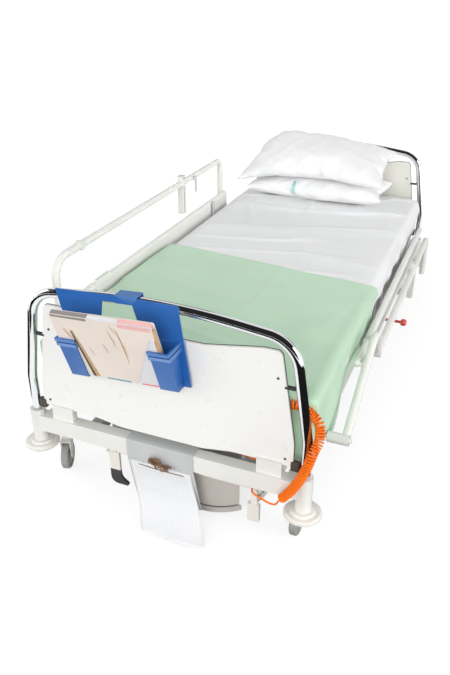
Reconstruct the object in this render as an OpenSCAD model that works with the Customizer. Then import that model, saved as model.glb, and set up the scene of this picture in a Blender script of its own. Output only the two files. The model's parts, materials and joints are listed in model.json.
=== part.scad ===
// Height-adjustable hospital bed, fully lowered. Millimetres. Origin on the floor under the
// bed's middle, +X to the right side seen from the foot end, +Y to the head end, +Z up.

/* [Bed] */
// Distance from the deck's edge out to a corner post
post_out = 32.5; // [28:0.5:40]
// Distance between the middles of the two end boards
end_span = 2100; // [2090:1:2140]
// Height of the mattress deck's top when the bed is lowered
deck_top = 375; // [370:1:385]
// Width of the mattress deck
deck_w = 860; // [850:1:866]
// Thickness of the mattress deck
deck_t = 18; // [14:1:20]
// Distance from the bed's middle to the backrest hinge
hinge_y = 200; // [180:5:220]

/* [Bedding] */
// How far the mattress reaches past the deck's edge
mattress_over = 15; // [10:1:16]
// Length of the mattress
mattress_l = 1980; // [1960:1:1984]
// Thickness of the mattress
mattress_t = 127; // [115:1:135]
// Thickness of the sheet
sheet_t = 2.2; // [1.5:0.1:2.6]
// Thickness of the blanket
blanket_t = 3.6; // [2.5:0.1:4]
// How far the sheet hangs down the mattress's side
sheet_drop = 118; // [100:1:120]
// How far the blanket hangs down the sides
blanket_drop = 172; // [150:1:180]
// Width of the upper pillow
pillow_w = 740; // [700:5:750]
// Length of the upper pillow from front to back
pillow_l = 400; // [390:2:404]
// Thickness of the lower pillow at its crown
pillow_t = 128; // [110:1:135]
// Thickness of the upper pillow at its crown
upper_pillow_t = 140; // [120:1:150]

/* [Base frame] */
// Side of the square base tube
base_tube = 40; // [36:1:44]
// Height of the base tube's middle
base_z = 150; // [149:1:152]
// Distance between the two long base tubes
base_span = 660; // [640:1:680]
// Distance from the end board's middle back to the base cross tube
base_setback = 95; // [90:1:100]
// Distance between the castor stems across the bed
castor_span = 860; // [850:1:866]
// Diameter of the castor socket
socket_d = 36; // [32:1:38]
// Width of the pan that carries a column
pan_l = 140; // [136:1:150]
// Height of the pan's floor above the ground
pan_z = 62; // [60:1:66]
// Sheet thickness of the pan
pan_t = 4; // [3:0.5:5]

/* [Castors] */
// Diameter of a castor wheel
wheel_d = 100; // [96:1:102]
// Width of a castor wheel
wheel_w = 26; // [22:1:28]
// Distance of the wheel's axle behind the swivel stem
castor_trail = 28; // [24:1:30]
// Diameter of the swivel stem
stem_d = 12; // [10:0.5:14]
// Diameter of the castor's crown
crown_d = 44; // [40:1:46]
// Plate thickness of the castor fork
fork_t = 4; // [3:0.5:5]
// Diameter of the castor's axle
axle_d = 10; // [8:0.5:12]

/* [Lift columns] */
// Distance from the end board's middle to the column's middle
column_setback = 270; // [260:1:275]
// Width of the outer column stage
column_w = 170; // [160:1:176]
// Length of the outer column stage
column_l = 120; // [110:1:124]
// Wall thickness of the column stages
column_wall = 4; // [3:0.5:5]
// Sliding gap between two column stages
column_gap = 0.4; // [0.3:0.05:0.6]
// Distance from the outer stage's top to the upper frame
column_headroom = 11; // [10:1:14]

/* [Base covers] */
// Width of the rounded base cover
cover_w = 454; // [440:1:460]
// Length of the base cover
cover_l = 440; // [430:1:442]
// Distance from the end board's middle to the cover's front
cover_setback = 30; // [28:1:36]
// Sideways offset of the cover from the bed's middle
cover_x = 61; // [55:1:65]
// Corner radius of the cover seen from above
cover_r = 170; // [150:1:180]
// Height of the cover's lower edge
cover_low = 16; // [14:1:20]
// Height of the cover's top
cover_top = 186; // [182:1:188]
// Wall thickness of the cover
cover_wall = 3; // [2.5:0.1:4]
// Height of the cover's lower rim
rim_h = 20; // [16:1:24]
// How far the rim stands out
rim_out = 5; // [3:0.5:7]

/* [Pedals] */
// Diameter of the pedal shaft
pedal_shaft_d = 12; // [10:1:14]
// Height of the pedal shaft
pedal_z = 184; // [180:1:186]
// Distance from the end board's middle back to the pedal shaft
pedal_setback = 10; // [9:1:12]
// Width of the foot pedals
pedal_w = 38; // [34:1:40]
// Thickness of the pedal arms
pedal_t = 10; // [8:1:12]

/* [Posts and crossbars] */
// Diameter of a corner post
post_d = 50; // [48:1:54]
// Height of a corner post's top
post_top = 285; // [280:1:290]
// Height of the crossbar's lower face
bar_low = 208; // [206:1:210]
// Height of the crossbar section
bar_h = 60; // [58:1:62]
// Depth of the crossbar section
bar_t = 40; // [38:1:42]
// Diameter of a corner bumper roller
roller_d = 115; // [110:1:116]
// Thickness of the bumper roller's rim
roller_t = 18; // [16:1:19]
// Height of the bumper roller's lower face
roller_z = 139.3; // [138:0.1:140]
// Width of a panel shoe
shoe_w = 78; // [70:1:84]

/* [End boards] */
// Diameter of the chromed end hoop's tube
hoop_d = 30; // [28:0.5:32]
// Height at which the hoop bends inward
kink_z = 413; // [405:1:420]
// How far the hoop's upper corner lies inside the post
corner_inset = 49.5; // [44:0.5:55]
// Height of the hoop's upper corner
corner_z = 718; // [710:1:725]
// Height where the hoop's two top runs would meet
crest_z = 768; // [760:1:775]
// Thickness of the board panel
panel_t = 10; // [8:1:12]
// Gap between the panel's edge and the hoop tube
panel_gap = 21; // [18:1:24]
// Height of the panel's lower edge
panel_low = 311; // [306:1:316]
// Depth to which an end board sits in its posts, and has to be lifted to take it off
board_lift = 55; // [50:1:56]

/* [Upper frame] */
// Width of the upper frame's long tube
side_tube_w = 30; // [28:1:32]
// Height of the upper frame's long tube
side_tube_h = 50; // [46:1:52]
// How far a long tube lies inside the deck's edge
side_inset = 10; // [8:1:12]
// Height of the upper frame's lower face
side_low = 215; // [213:1:217]

/* [Side rails] */
// Distance from the deck's edge out to a rail's tube
rail_out = 90; // [88:1:95]
// Diameter of the rail's main tube
rail_d = 28; // [26:0.5:30]
// Diameter of the lower rail tube
low_rail_d = 25; // [22:0.5:26]
// Height of the top rail above the rail's base pivot
rail_rise = 450; // [440:1:460]
// Distance of the sleeve joint from the arm's pivot along the bed
rail_reach = 160; // [155:1:170]
// Height of the lower rail above the rail's base pivot
low_rise = 290; // [280:1:300]
// Place of the rail's base pivot along the bed, from the middle
rail_foot_y = -790; // [-800:1:-780]
// Place of the top rail's far post along the bed
rail_head_y = 660; // [640:1:670]
// How far a rail's arm swings down
rail_swing = 62; // [55:1:63]
// Height of the rail's board
rail_board_h = 110; // [100:1:115]
// Thickness of the rail's board
rail_board_t = 10; // [8:1:11]

/* [Fittings] */
// Width of the chart holder
holder_w = 396; // [380:1:410]
// Height of the chart holder
holder_h = 262; // [250:1:270]
// Sheet thickness of the chart holder
holder_t = 4; // [3:0.5:5]
// Tilt of the chart holder on the hoop in degrees
holder_tilt = 3.5; // [2:0.5:5]
// Width of one holder cup
cup_w = 59; // [54:1:64]
// Lean of the folders in degrees
folder_lean = 17; // [15:0.5:19]
// Room beside the folders in the right cup
folder_room = 22; // [20:1:32]
// Height of the folders
folder_h = 245; // [235:1:250]
// Thickness of the pile of folders
folder_t = 20; // [16:1:22]
// Width of the chart board on the crossbar
chart_w = 232; // [220:1:240]
// Thickness of the chart board
chart_t = 3; // [2:0.5:4]
// Width of the chart papers
paper_w = 212; // [205:1:216]
// Diameter of the curly cord
cord_d = 6; // [5.6:0.1:6.1]
// Outer diameter of the cord's curls
curl_od = 37; // [36:0.5:38]
// Number of curls in the cord
curl_count = 52; // [40:1:54]

/* [Hidden] */
$fn = 48;

// Colours
white_paint = [0.93, 0.925, 0.9];
cream = [0.93, 0.92, 0.86];
greige = [0.78, 0.75, 0.72];
grey = [0.6, 0.62, 0.63];
dark = [0.15, 0.15, 0.16];
chrome = [0.8, 0.82, 0.85];
steel = [0.65, 0.66, 0.68];
linen = [0.95, 0.95, 0.96];
mint = [0.74, 0.87, 0.76];
orange = [0.98, 0.45, 0.12];
blue = [0.16, 0.38, 0.68];
buff = [0.92, 0.84, 0.75];
copper = [0.5, 0.35, 0.24];
red = [0.8, 0.2, 0.2];

// Clearances shared by many pieces
cut = 1; // overrun of a cutting tool
rest_gap = 0.3; // gap under a piece that lies loose on another
run_gap = 0.05; // radial gap of a shaft that turns in its bore
slip_gap = 0.6; // gap round a piece that is lifted out

// Directions of the four corners: foot left, foot right, head left, head right
corners = [[-1, -1], [1, -1], [-1, 1], [1, 1]];
// Directions in which the four castors trail, in degrees from +X
castor_headings = [-70, -90, -60, -115];

end_y = end_span / 2;
post_x = deck_w / 2 + post_out;
corner_x = post_x - corner_inset;
mattress_w = deck_w + 2 * mattress_over;
bar_top = bar_low + bar_h;
deck_low = deck_top - deck_t;
base_cross_y = end_y - base_setback;
castor_x = castor_span / 2;
column_y = end_y - column_setback;
bearer_t = 10;
bearer_low = deck_low - rest_gap - bearer_t;
side_x = deck_w / 2 - side_inset;
side_top = side_low + side_tube_h;
mattress_end = mattress_l / 2;

// Box given by its size and its middle
module block(size, at) translate(at) cube(size, center = true);

// Box given by its low corner and its high corner
module span_box(low, high) translate(low) cube(high - low);

// Round bars along X, Y and Z
module bar_x(d, x0, x1, y, z)
  translate([x0, y, z]) rotate([0, 90, 0]) cylinder(d = d, h = x1 - x0);

module bar_y(d, x, y0, y1, z)
  translate([x, y0, z]) rotate([-90, 0, 0]) cylinder(d = d, h = y1 - y0);

module bar_z(d, x, y, z0, z1) translate([x, y, z0]) cylinder(d = d, h = z1 - z0);

// Copy of a piece on the other side of the bed, or its own side
module on_side(side) {
  if (side > 0) children();
  else mirror([1, 0, 0]) children();
}

// Copy of a piece at the head end, or the foot end
module at_end(end) {
  if (end < 0) children();
  else mirror([0, 1, 0]) children();
}

function unit(v) = v / norm(v);
function heading(v) = atan2(v[1], v[0]);
function mix(a, b, share) = a + (b - a) * share;
function smooth(share) = share * share * (3 - 2 * share);
function clamp01(value) = max(0, min(1, value));

// Change of direction at b on the way from a to c, in degrees
function turn(a, b, c) = acos(max(-1, min(1, unit(b - a) * unit(c - b))));
// Length that a bend of radius r takes from each leg at b
function bend_run(a, b, c, r) = r * tan(turn(a, b, c) / 2);
// +1 where the path turns left at b, else -1
function bend_side(a, b, c) =
  (b[0] - a[0]) * (c[1] - b[1]) - (b[1] - a[1]) * (c[0] - b[0]) > 0 ? 1 : -1;

// Round tube along a flat path in XY, bent with a radius at each inner point
module tube_path(points, radii, d) {
  last = len(points) - 1;
  runs = [for (i = [0:last]) i == 0 || i == last ? 0
    : bend_run(points[i - 1], points[i], points[i + 1], radii[i])];
  for (i = [0:last - 1]) {
    leg = points[i + 1] - points[i];
    start = points[i] + unit(leg) * runs[i];
    translate([start[0], start[1], 0])
      rotate([0, 0, heading(leg)])
        rotate([0, 90, 0])
          cylinder(d = d, h = norm(leg) - runs[i] - runs[i + 1]);
  }
  for (i = [1:last - 1]) {
    way = unit(points[i] - points[i - 1]);
    side = bend_side(points[i - 1], points[i], points[i + 1]);
    swing = turn(points[i - 1], points[i], points[i + 1]);
    inward = side * [-way[1], way[0]];
    middle = points[i] - way * runs[i] + inward * radii[i];
    first = heading(-inward) - (side > 0 ? 0 : swing);
    translate([middle[0], middle[1], 0])
      rotate([0, 0, first])
        rotate_extrude(angle = swing)
          translate([radii[i], 0]) circle(d = d);
  }
}

// Closed outline with a fillet at each corner
function rounded(points, radii, steps) = [
  for (i = [0:len(points) - 1])
    let (
      a = points[(i + len(points) - 1) % len(points)],
      b = points[i],
      c = points[(i + 1) % len(points)],
      r = radii[i],
      side = bend_side(a, b, c),
      swing = turn(a, b, c),
      way = unit(b - a),
      inward = side * [-way[1], way[0]],
      middle = b - way * bend_run(a, b, c, r) + inward * r,
      first = heading(-inward)
    )
    for (k = [0:r == 0 ? 0 : steps])
      r == 0 ? b
        : middle + r * [cos(first + side * swing * k / steps),
                sin(first + side * swing * k / steps)]
];

// Flat plate with rounded corners, drawn in XY about its middle
module round_plate(w, l, r) {
  square([w - 2 * r, l], center = true);
  square([w, l - 2 * r], center = true);
  for (x = [-1, 1], y = [-1, 1])
    translate([x * (w / 2 - r), y * (l / 2 - r)]) circle(r = r);
}

// Closed skin round a grid of points: upper and lower layers of rows by columns
module grid_solid(upper, lower) {
  rows = len(upper);
  cols = len(upper[0]);
  count = rows * cols;
  points = concat([for (row = upper) for (p = row) p], [for (row = lower) for (p = row) p]);
  faces = concat(
    [for (i = [0:rows - 2], j = [0:cols - 2])
      let (a = i * cols + j, b = a + cols, c = a + count, d = b + count)
      each [[a, b, b + 1], [a, b + 1, a + 1], [c, d + 1, d], [c, c + 1, d + 1]]],
    [for (i = [0:rows - 2]) each edge_pair(i * cols, (i + 1) * cols, count)],
    [for (i = [0:rows - 2]) each edge_pair((i + 2) * cols - 1, (i + 1) * cols - 1, count)],
    [for (j = [0:cols - 2]) each edge_pair(j + 1, j, count)],
    [for (j = [0:cols - 2]) each edge_pair((rows - 1) * cols + j,
      (rows - 1) * cols + j + 1, count)]
  );
  polyhedron(points = points, faces = faces, convexity = 8);
}

// Skin of a tube through centres, with the way it runs and a sideways vector at each
module tube_skin(centres, ways, sideways, d, sides) {
  rings = len(centres);
  points = [for (i = [0:rings - 1]) for (k = [0:sides - 1])
    let (a = 360 * k / sides)
    centres[i] + d / 2 * (cos(a) * sideways[i] + sin(a) * cross(ways[i], sideways[i]))];
  skin = [for (i = [0:rings - 2], k = [0:sides - 1])
    let (
      a = i * sides + k,
      b = i * sides + (k + 1) % sides,
      c = a + sides,
      d = b + sides
    )
    each [[a, c, b], [b, c, d]]];
  last = (rings - 1) * sides;
  caps = [for (k = [1:sides - 2]) each [[0, k, k + 1], [last, last + k + 1, last + k]]];
  polyhedron(points = points, faces = concat(skin, caps), convexity = 10);
}

// Direction of a line of points at each of them
function ways_along(points) = [for (i = [0:len(points) - 1])
  unit(points[min(len(points) - 1, i + 1)] - points[max(0, i - 1)])];

// Two triangles that join an edge of both layers
function edge_pair(a, b, count) = [[b, a, count + a], [b, count + a, count + b]];

// Base frame: welded tubes, castor sockets and the pans that carry the columns
pan_top = base_z;
socket_rise = 2;
socket_top = base_z + base_tube / 2 + socket_rise;
socket_low = 124.5;

module base_frame() color(white_paint) {
  difference() {
    union() {
      for (side = [-1, 1])
        block([base_tube, 2 * base_cross_y + base_tube, base_tube],
          [side * base_span / 2, 0, base_z]);
      for (end = [-1, 1])
        block([castor_span + socket_d + base_tube / 2, base_tube, base_tube],
          [0, end * base_cross_y, base_z]);
      for (corner = corners)
        bar_z(socket_d, corner[0] * castor_x, corner[1] * base_cross_y,
          socket_low, socket_top);
      for (end = [-1, 1]) at_end(end) {
        column_pan();
        pedal_bracket(end);
      }
    }
    for (corner = corners)
      bar_z(stem_d + 2 * run_gap, corner[0] * castor_x, corner[1] * base_cross_y,
        socket_low - cut, socket_top - pan_t);
  }
}

// Open pan between the long tubes at the foot end
module column_pan() {
  pan_w = base_span - base_tube;
  difference() {
    span_box([-pan_w / 2, -column_y - pan_l / 2, pan_z],
      [pan_w / 2, -column_y + pan_l / 2, pan_top]);
    span_box([-pan_w / 2 + pan_t, -column_y - pan_l / 2 + pan_t, pan_z + pan_t],
      [pan_w / 2 - pan_t, -column_y + pan_l / 2 - pan_t, pan_top + cut]);
  }
}

// Two eyes in front of the foot cross tube that hold the pedal shaft
bracket_t = 6;
bracket_h = 26;
pedal_y = -end_y + pedal_setback;
pedal_beside = 18; // from the cover's side to a pedal's middle
pedal_left_x = cover_x - cover_w / 2 - pedal_beside;
pedal_right_x = cover_x + cover_w / 2 + pedal_beside;

module pedal_bracket(end) {
  if (end < 0)
    for (x = [pedal_left_x - pedal_w / 2 - bracket_t, pedal_right_x + pedal_w / 2])
      difference() {
        union() {
          span_box([x, pedal_y, pedal_z - bracket_h / 2],
            [x + bracket_t, -base_cross_y, pedal_z + bracket_h / 2]);
          span_box([x, -base_cross_y - base_tube / 2, base_z],
            [x + bracket_t, -base_cross_y, pedal_z + bracket_h / 2]);
          bar_x(bracket_h, x, x + bracket_t, pedal_y, pedal_z);
        }
        bar_x(pedal_shaft_d + 2 * run_gap, x - cut, x + bracket_t + cut, pedal_y,
          pedal_z);
      }
}

// Rounded cover over each column's foot, open below, cut free of the frame it sits over
module base_cover() {
  middle_y = -end_y + cover_setback + cover_l / 2;
  notch = 0.5;
  color(greige) difference() {
    union() {
      translate([cover_x, middle_y, cover_low])
        linear_extrude(cover_top - cover_low) round_plate(cover_w, cover_l, cover_r);
      translate([cover_x, middle_y, cover_low])
        linear_extrude(rim_h)
          round_plate(cover_w + 2 * rim_out, cover_l + 2 * rim_out,
            cover_r + rim_out);
    }
    translate([cover_x, middle_y, cover_low - cut])
      linear_extrude(cover_top - cover_low - cover_wall + cut)
        round_plate(cover_w - 2 * cover_wall, cover_l - 2 * cover_wall,
          cover_r - cover_wall);
    block([column_w + 2 * notch, column_l + 2 * notch, cover_top],
      [0, -column_y, cover_top]);
    span_box([-base_span / 2, -column_y - pan_l / 2 - notch, -cut],
      [base_span / 2, -column_y + pan_l / 2 + notch, pan_top + notch]);
    span_box([-castor_x, -base_cross_y - base_tube / 2 - notch, -cut],
      [castor_x, -base_cross_y + base_tube / 2 + notch,
        base_z + base_tube / 2 + rest_gap]);
  }
}

module base_cover_foot() base_cover();

module base_cover_head() at_end(1) base_cover();

// Lift columns: three box stages at each end
stage_step = column_wall + column_gap;
outer_top = bearer_low - column_headroom;
mid_stage_share = 0.5;

module column_stage(index, low, high) {
  for (end = [-1, 1])
    difference() {
      span_box([-column_w / 2 + index * stage_step,
          end * column_y - column_l / 2 + index * stage_step, low],
        [column_w / 2 - index * stage_step,
          end * column_y + column_l / 2 - index * stage_step, high]);
      span_box([-column_w / 2 + index * stage_step + column_wall,
          end * column_y - column_l / 2 + index * stage_step + column_wall,
          low - cut],
        [column_w / 2 - index * stage_step - column_wall,
          end * column_y + column_l / 2 - index * stage_step - column_wall,
          high + cut]);
    }
}

module column_outer() color(white_paint)
  column_stage(0, pan_z + pan_t, outer_top);

module column_mid() color(steel)
  column_stage(1, pan_z + pan_t + rest_gap, mix(outer_top, bearer_low, mid_stage_share));

module column_inner() color(steel)
  column_stage(2, pan_z + pan_t + rest_gap, bearer_low);

// Pedal shaft with the arms of both foot pedals
pedal_left_low = 105;
pedal_right_low = 57;
pedal_right_top = 124;
pedal_arm_w = 20;

module pedal_shaft() color(cream) {
  bar_x(pedal_shaft_d, pedal_left_x - pedal_w / 2 - bracket_t - rest_gap,
    pedal_right_x + pedal_w / 2 + bracket_t + rest_gap, pedal_y, pedal_z);
  span_box([pedal_left_x - pedal_w / 2 + rest_gap, pedal_y - pedal_t / 2, pedal_left_low],
    [pedal_left_x + pedal_w / 2, pedal_y + pedal_t / 2, pedal_z]);
  span_box([pedal_right_x - pedal_arm_w / 2, pedal_y - pedal_t / 2, pedal_right_top - cut],
    [pedal_right_x + pedal_arm_w / 2, pedal_y + pedal_t / 2, pedal_z]);
  span_box([pedal_right_x - pedal_w / 2, pedal_y - pedal_t, pedal_right_low],
    [pedal_right_x + pedal_w / 2 - rest_gap, pedal_y + pedal_t / 2, pedal_right_top]);
  for (x = [pedal_left_x, pedal_right_x])
    bar_x(bracket_h - pedal_shaft_d / 2, x - pedal_arm_w / 2, x + pedal_arm_w / 2,
      pedal_y, pedal_z);
}

// Dark rubber pad under the left pedal arm, curling toward the bed's middle
pad_drop = 58;
pad_reach = 26;
pad_round = 4;

module pedal_pad() color(dark)
  translate([0, pedal_y + pedal_t / 2, 0]) rotate([90, 0, 0])
    linear_extrude(pedal_t)
      polygon(rounded([
        [pedal_left_x - pedal_w / 2 + rest_gap, pedal_left_low],
        [pedal_left_x - pedal_w / 2 + rest_gap, pedal_left_low - pad_drop],
        [pedal_left_x + pedal_w / 2 + pad_reach, pedal_left_low - pad_drop],
        [pedal_left_x + pedal_w / 2 + pad_reach, pedal_left_low - pad_drop + pedal_t],
        [pedal_left_x + pedal_w / 2, pedal_left_low - pad_drop / 2],
        [pedal_left_x + pedal_w / 2, pedal_left_low]
      ], [0, pad_reach, pad_round, pad_round, pad_drop / 2 - cut, 0], 6));

// Castors
crown_low = 112;
crown_top = socket_low - rest_gap;
fork_gap = 1;
fork_w = 26;

module castor_place(index) {
  corner = corners[index];
  translate([corner[0] * castor_x, corner[1] * base_cross_y, 0])
    rotate([0, 0, castor_headings[index]]) children();
}

module castor_fork(index) color(white_paint) castor_place(index) {
  bar_z(stem_d, 0, 0, crown_low, base_z + base_tube / 2 - pan_t);
  bar_z(crown_d, 0, 0, crown_low, crown_top);
  span_box([0, -wheel_w / 2 - fork_gap - fork_t, crown_low - fork_t],
    [castor_trail + fork_w / 2, wheel_w / 2 + fork_gap + fork_t, crown_low]);
  intersection() {
    bar_z(crown_d, 0, 0, crown_low - fork_t, crown_top);
    block([crown_d, wheel_w + 2 * fork_gap + 2 * fork_t, crown_top],
      [0, 0, crown_low]);
  }
  for (side = [-1, 1])
    translate([0, side * (wheel_w / 2 + fork_gap + fork_t / 2) + fork_t / 2, 0])
      rotate([90, 0, 0]) linear_extrude(fork_t)
        polygon([
          [0, crown_low],
          [castor_trail - fork_w / 2, wheel_d / 2],
          [castor_trail - fork_w / 4, wheel_d / 2 - fork_w / 2],
          [castor_trail + fork_w / 4, wheel_d / 2 - fork_w / 2],
          [castor_trail + fork_w / 2, wheel_d / 2],
          [castor_trail + fork_w / 2, crown_low]
        ]);
  bar_y(axle_d, castor_trail, -wheel_w / 2 - fork_gap - fork_t - cut,
    wheel_w / 2 + fork_gap + fork_t + cut, wheel_d / 2);
}

// Wheel with a rounded tread, a dished web and a bored hub
tread_round = 4;
web_recess = 4;

module castor_wheel(index) color(grey) castor_place(index)
  translate([castor_trail, 0, wheel_d / 2]) rotate([90, 0, 0])
    rotate_extrude() polygon([
      [axle_d / 2 + run_gap, -wheel_w / 2],
      [axle_d, -wheel_w / 2],
      [axle_d + web_recess, -wheel_w / 2 + web_recess],
      [wheel_d / 2 - 3 * tread_round, -wheel_w / 2 + web_recess],
      [wheel_d / 2 - 2 * tread_round, -wheel_w / 2],
      [wheel_d / 2 - tread_round, -wheel_w / 2],
      [wheel_d / 2, -wheel_w / 2 + tread_round],
      [wheel_d / 2, wheel_w / 2 - tread_round],
      [wheel_d / 2 - tread_round, wheel_w / 2],
      [wheel_d / 2 - 2 * tread_round, wheel_w / 2],
      [wheel_d / 2 - 3 * tread_round, wheel_w / 2 - web_recess],
      [axle_d + web_recess, wheel_w / 2 - web_recess],
      [axle_d, wheel_w / 2],
      [axle_d / 2 + run_gap, wheel_w / 2]
    ]);

// Crossbar with its two corner posts, panel shoes and roller pins
post_low = 165;
post_socket = post_top - board_lift;
pin_d = 16;
pin_head_d = 26;
pin_head_t = 4;
shoe_x = 355;
shoe_t = 24;
shoe_lap = 7;
shoe_top = panel_low + shoe_lap;

module crossbar() color(white_paint) {
  difference() {
    union() {
      block([2 * post_x, bar_t, bar_h], [0, -end_y, bar_low + bar_h / 2]);
      for (side = [-1, 1]) {
        bar_z(post_d, side * post_x, -end_y, post_low, post_top);
        block([shoe_w, shoe_t, shoe_top - bar_top],
          [side * shoe_x, -end_y, (shoe_top + bar_top) / 2]);
        bar_z(pin_d, side * post_x, -end_y, roller_z - rest_gap - pin_head_t, post_low);
        bar_z(pin_head_d, side * post_x, -end_y,
          roller_z - rest_gap - pin_head_t, roller_z - rest_gap);
      }
    }
    for (side = [-1, 1]) {
      bar_z(hoop_d + slip_gap, side * post_x, -end_y, post_socket, post_top + cut);
      block([shoe_w + cut, panel_t + 2 * slip_gap, 2 * (shoe_top - panel_low + rest_gap)],
        [side * shoe_x, -end_y, shoe_top]);
    }
  }
}

module crossbar_foot() crossbar();

module crossbar_head() at_end(1) crossbar();

// Horizontal bumper roller with a raised inner ring
roller_round = 6;
ring_d = 72;
ring_h = post_low - roller_z - rest_gap;

module bumper_roller(index) color(cream)
  translate([corners[index][0] * post_x, corners[index][1] * end_y, roller_z])
    rotate_extrude() polygon([
      [pin_d / 2 + run_gap, 0],
      [roller_d / 2 - roller_round, 0],
      [roller_d / 2, roller_round],
      [roller_d / 2, roller_t - roller_round],
      [roller_d / 2 - roller_round, roller_t],
      [ring_d / 2 + roller_round / 2, roller_t],
      [ring_d / 2, ring_h],
      [pin_d / 2 + run_gap, ring_h]
    ]);

// Chromed hoop of an end board
hoop_path = [[-post_x, post_socket + rest_gap], [-post_x, kink_z], [-corner_x, corner_z],
  [0, crest_z], [corner_x, corner_z], [post_x, kink_z], [post_x, post_socket + rest_gap]];
kink_r = 150;
corner_r = 100;
crest_r = 2200;
crest_slope = heading([corner_x, crest_z - corner_z]);
// The crest's bend, limited by the length of the top runs
crest_bend_r = min(crest_r, (corner_x / cos(crest_slope) - corner_r) / tan(crest_slope));

hoop_sides = 20;
hoop_arc_steps = 7;

module hoop() color(chrome) {
  centres = [for (p = rounded(hoop_path,
      [0, kink_r, corner_r, crest_bend_r, corner_r, kink_r, 0], hoop_arc_steps))
    [p[0], -end_y, p[1]]];
  tube_skin(centres, ways_along(centres), [for (c = centres) [0, 1, 0]], hoop_d,
    hoop_sides);
}

module foot_hoop() hoop();

module head_hoop() at_end(1) hoop();

// Board panel in the hoop's plane, its top and bottom edges dipping in the middle
panel_side_inset = 35;
panel_side_x = corner_x - panel_side_inset;
panel_foot_inset = 37.5;
panel_foot_x = post_x - panel_foot_inset;
panel_top = 684;
panel_top_dip = 28;
panel_low_dip = 15;
dip_out_share = 0.86;
dip_in_share = 0.4;
low_out_share = 0.55;
low_in_share = 0.33;
panel_outline = [
  [-panel_foot_x, panel_low],
  [-panel_foot_x * low_out_share, panel_low],
  [-panel_foot_x * low_in_share, panel_low - panel_low_dip],
  [panel_foot_x * low_in_share, panel_low - panel_low_dip],
  [panel_foot_x * low_out_share, panel_low],
  [panel_foot_x, panel_low],
  [panel_foot_x, kink_z - panel_gap],
  [panel_side_x, panel_top],
  [panel_side_x * dip_out_share, panel_top],
  [panel_side_x * dip_in_share, panel_top - panel_top_dip],
  [-panel_side_x * dip_in_share, panel_top - panel_top_dip],
  [-panel_side_x * dip_out_share, panel_top],
  [-panel_side_x, panel_top],
  [-panel_foot_x, kink_z - panel_gap]
];
panel_edge_r = 18;
panel_dip_r = 90;

module panel() {
  difference() {
    translate([0, -end_y + panel_t / 2, 0]) rotate([90, 0, 0])
      linear_extrude(panel_t)
        polygon(rounded(panel_outline, [panel_edge_r, panel_dip_r, panel_dip_r,
          panel_dip_r, panel_dip_r, panel_edge_r, panel_dip_r, panel_edge_r,
          panel_dip_r, panel_dip_r, panel_dip_r, panel_dip_r, panel_edge_r,
          panel_dip_r], 5));
    for (place = screw_places)
      bar_y(screw_d, place[0], -end_y - panel_t, -end_y + panel_t, place[1]);
  }
}

module foot_panel() color(white_paint) panel();

module head_panel() at_end(1) color(cream) panel();

// Screws and the straps that tie a panel to its hoop
screw_d = 5;
screw_head_d = 9;
screw_head_t = 2;
upper_screw_inset = 8;
upper_screw_x = panel_side_x - upper_screw_inset;
upper_screw_z = 600;
lower_screw_inset = 24;
lower_screw_x = panel_foot_x - lower_screw_inset;
lower_screw_z = 335;
strap_z = 575;
strap_h = 16;
strap_t = 3;
screw_places = [[-upper_screw_x, upper_screw_z], [upper_screw_x, upper_screw_z],
  [-lower_screw_x, lower_screw_z], [lower_screw_x, lower_screw_z]];

// Place of the hoop's sloping leg at a height
function hoop_x(z) = mix(post_x, corner_x, (z - kink_z) / (corner_z - kink_z));

module panel_fixings() {
  color(cream) for (place = screw_places) {
    bar_y(screw_d, place[0], -end_y - panel_t / 2, -end_y + panel_t / 2, place[1]);
    bar_y(screw_head_d, place[0], -end_y - panel_t / 2 - screw_head_t,
      -end_y - panel_t / 2, place[1]);
    bar_y(screw_head_d, place[0], -end_y + panel_t / 2,
      -end_y + panel_t / 2 + screw_head_t, place[1]);
  }
  color(cream) for (side = [-1, 1]) difference() {
    union() {
      bar_z(hoop_d + 2 * strap_t, side * hoop_x(strap_z), -end_y, strap_z - strap_h / 2,
        strap_z + strap_h / 2);
      for (face = [-1, 1])
        block([hoop_d + panel_gap, strap_t, strap_h],
          [side * (hoop_x(strap_z) - hoop_d),
            -end_y + face * (panel_t + strap_t) / 2, strap_z]);
    }
    translate([side * hoop_x(strap_z), -end_y, strap_z])
      rotate([0, -side * heading([corner_z - kink_z, post_x - corner_x]), 0])
        cylinder(d = hoop_d, h = 2 * strap_h, center = true);
    block([2 * hoop_d + panel_gap, panel_t, 2 * strap_h],
      [side * (hoop_x(strap_z) - hoop_d), -end_y, strap_z]);
  }
}

module foot_panel_fixings() panel_fixings();

module head_panel_fixings() at_end(1) panel_fixings();

// Upper frame: long tubes, cross tubes, bearers, hinge ears and rail stubs
cross_y = [-300, 60];
cross_h = 40;
ear_t = 6;
ear_w = 30;
pin_reach = 20;
hinge_pin_d = 8;
hinge_z = deck_low + deck_t / 2;
rail_z = 250;
rail_x = deck_w / 2 + rail_out;
stub_d = 16;
link_stub_d = 12;
link_y = 450;
link_inset = 58;
link_x = rail_x - link_inset;
link_t = 6;
knob_y = 120;
knob_z = 240;
knob_shaft_d = 12;
actuator_z = 300;

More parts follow.
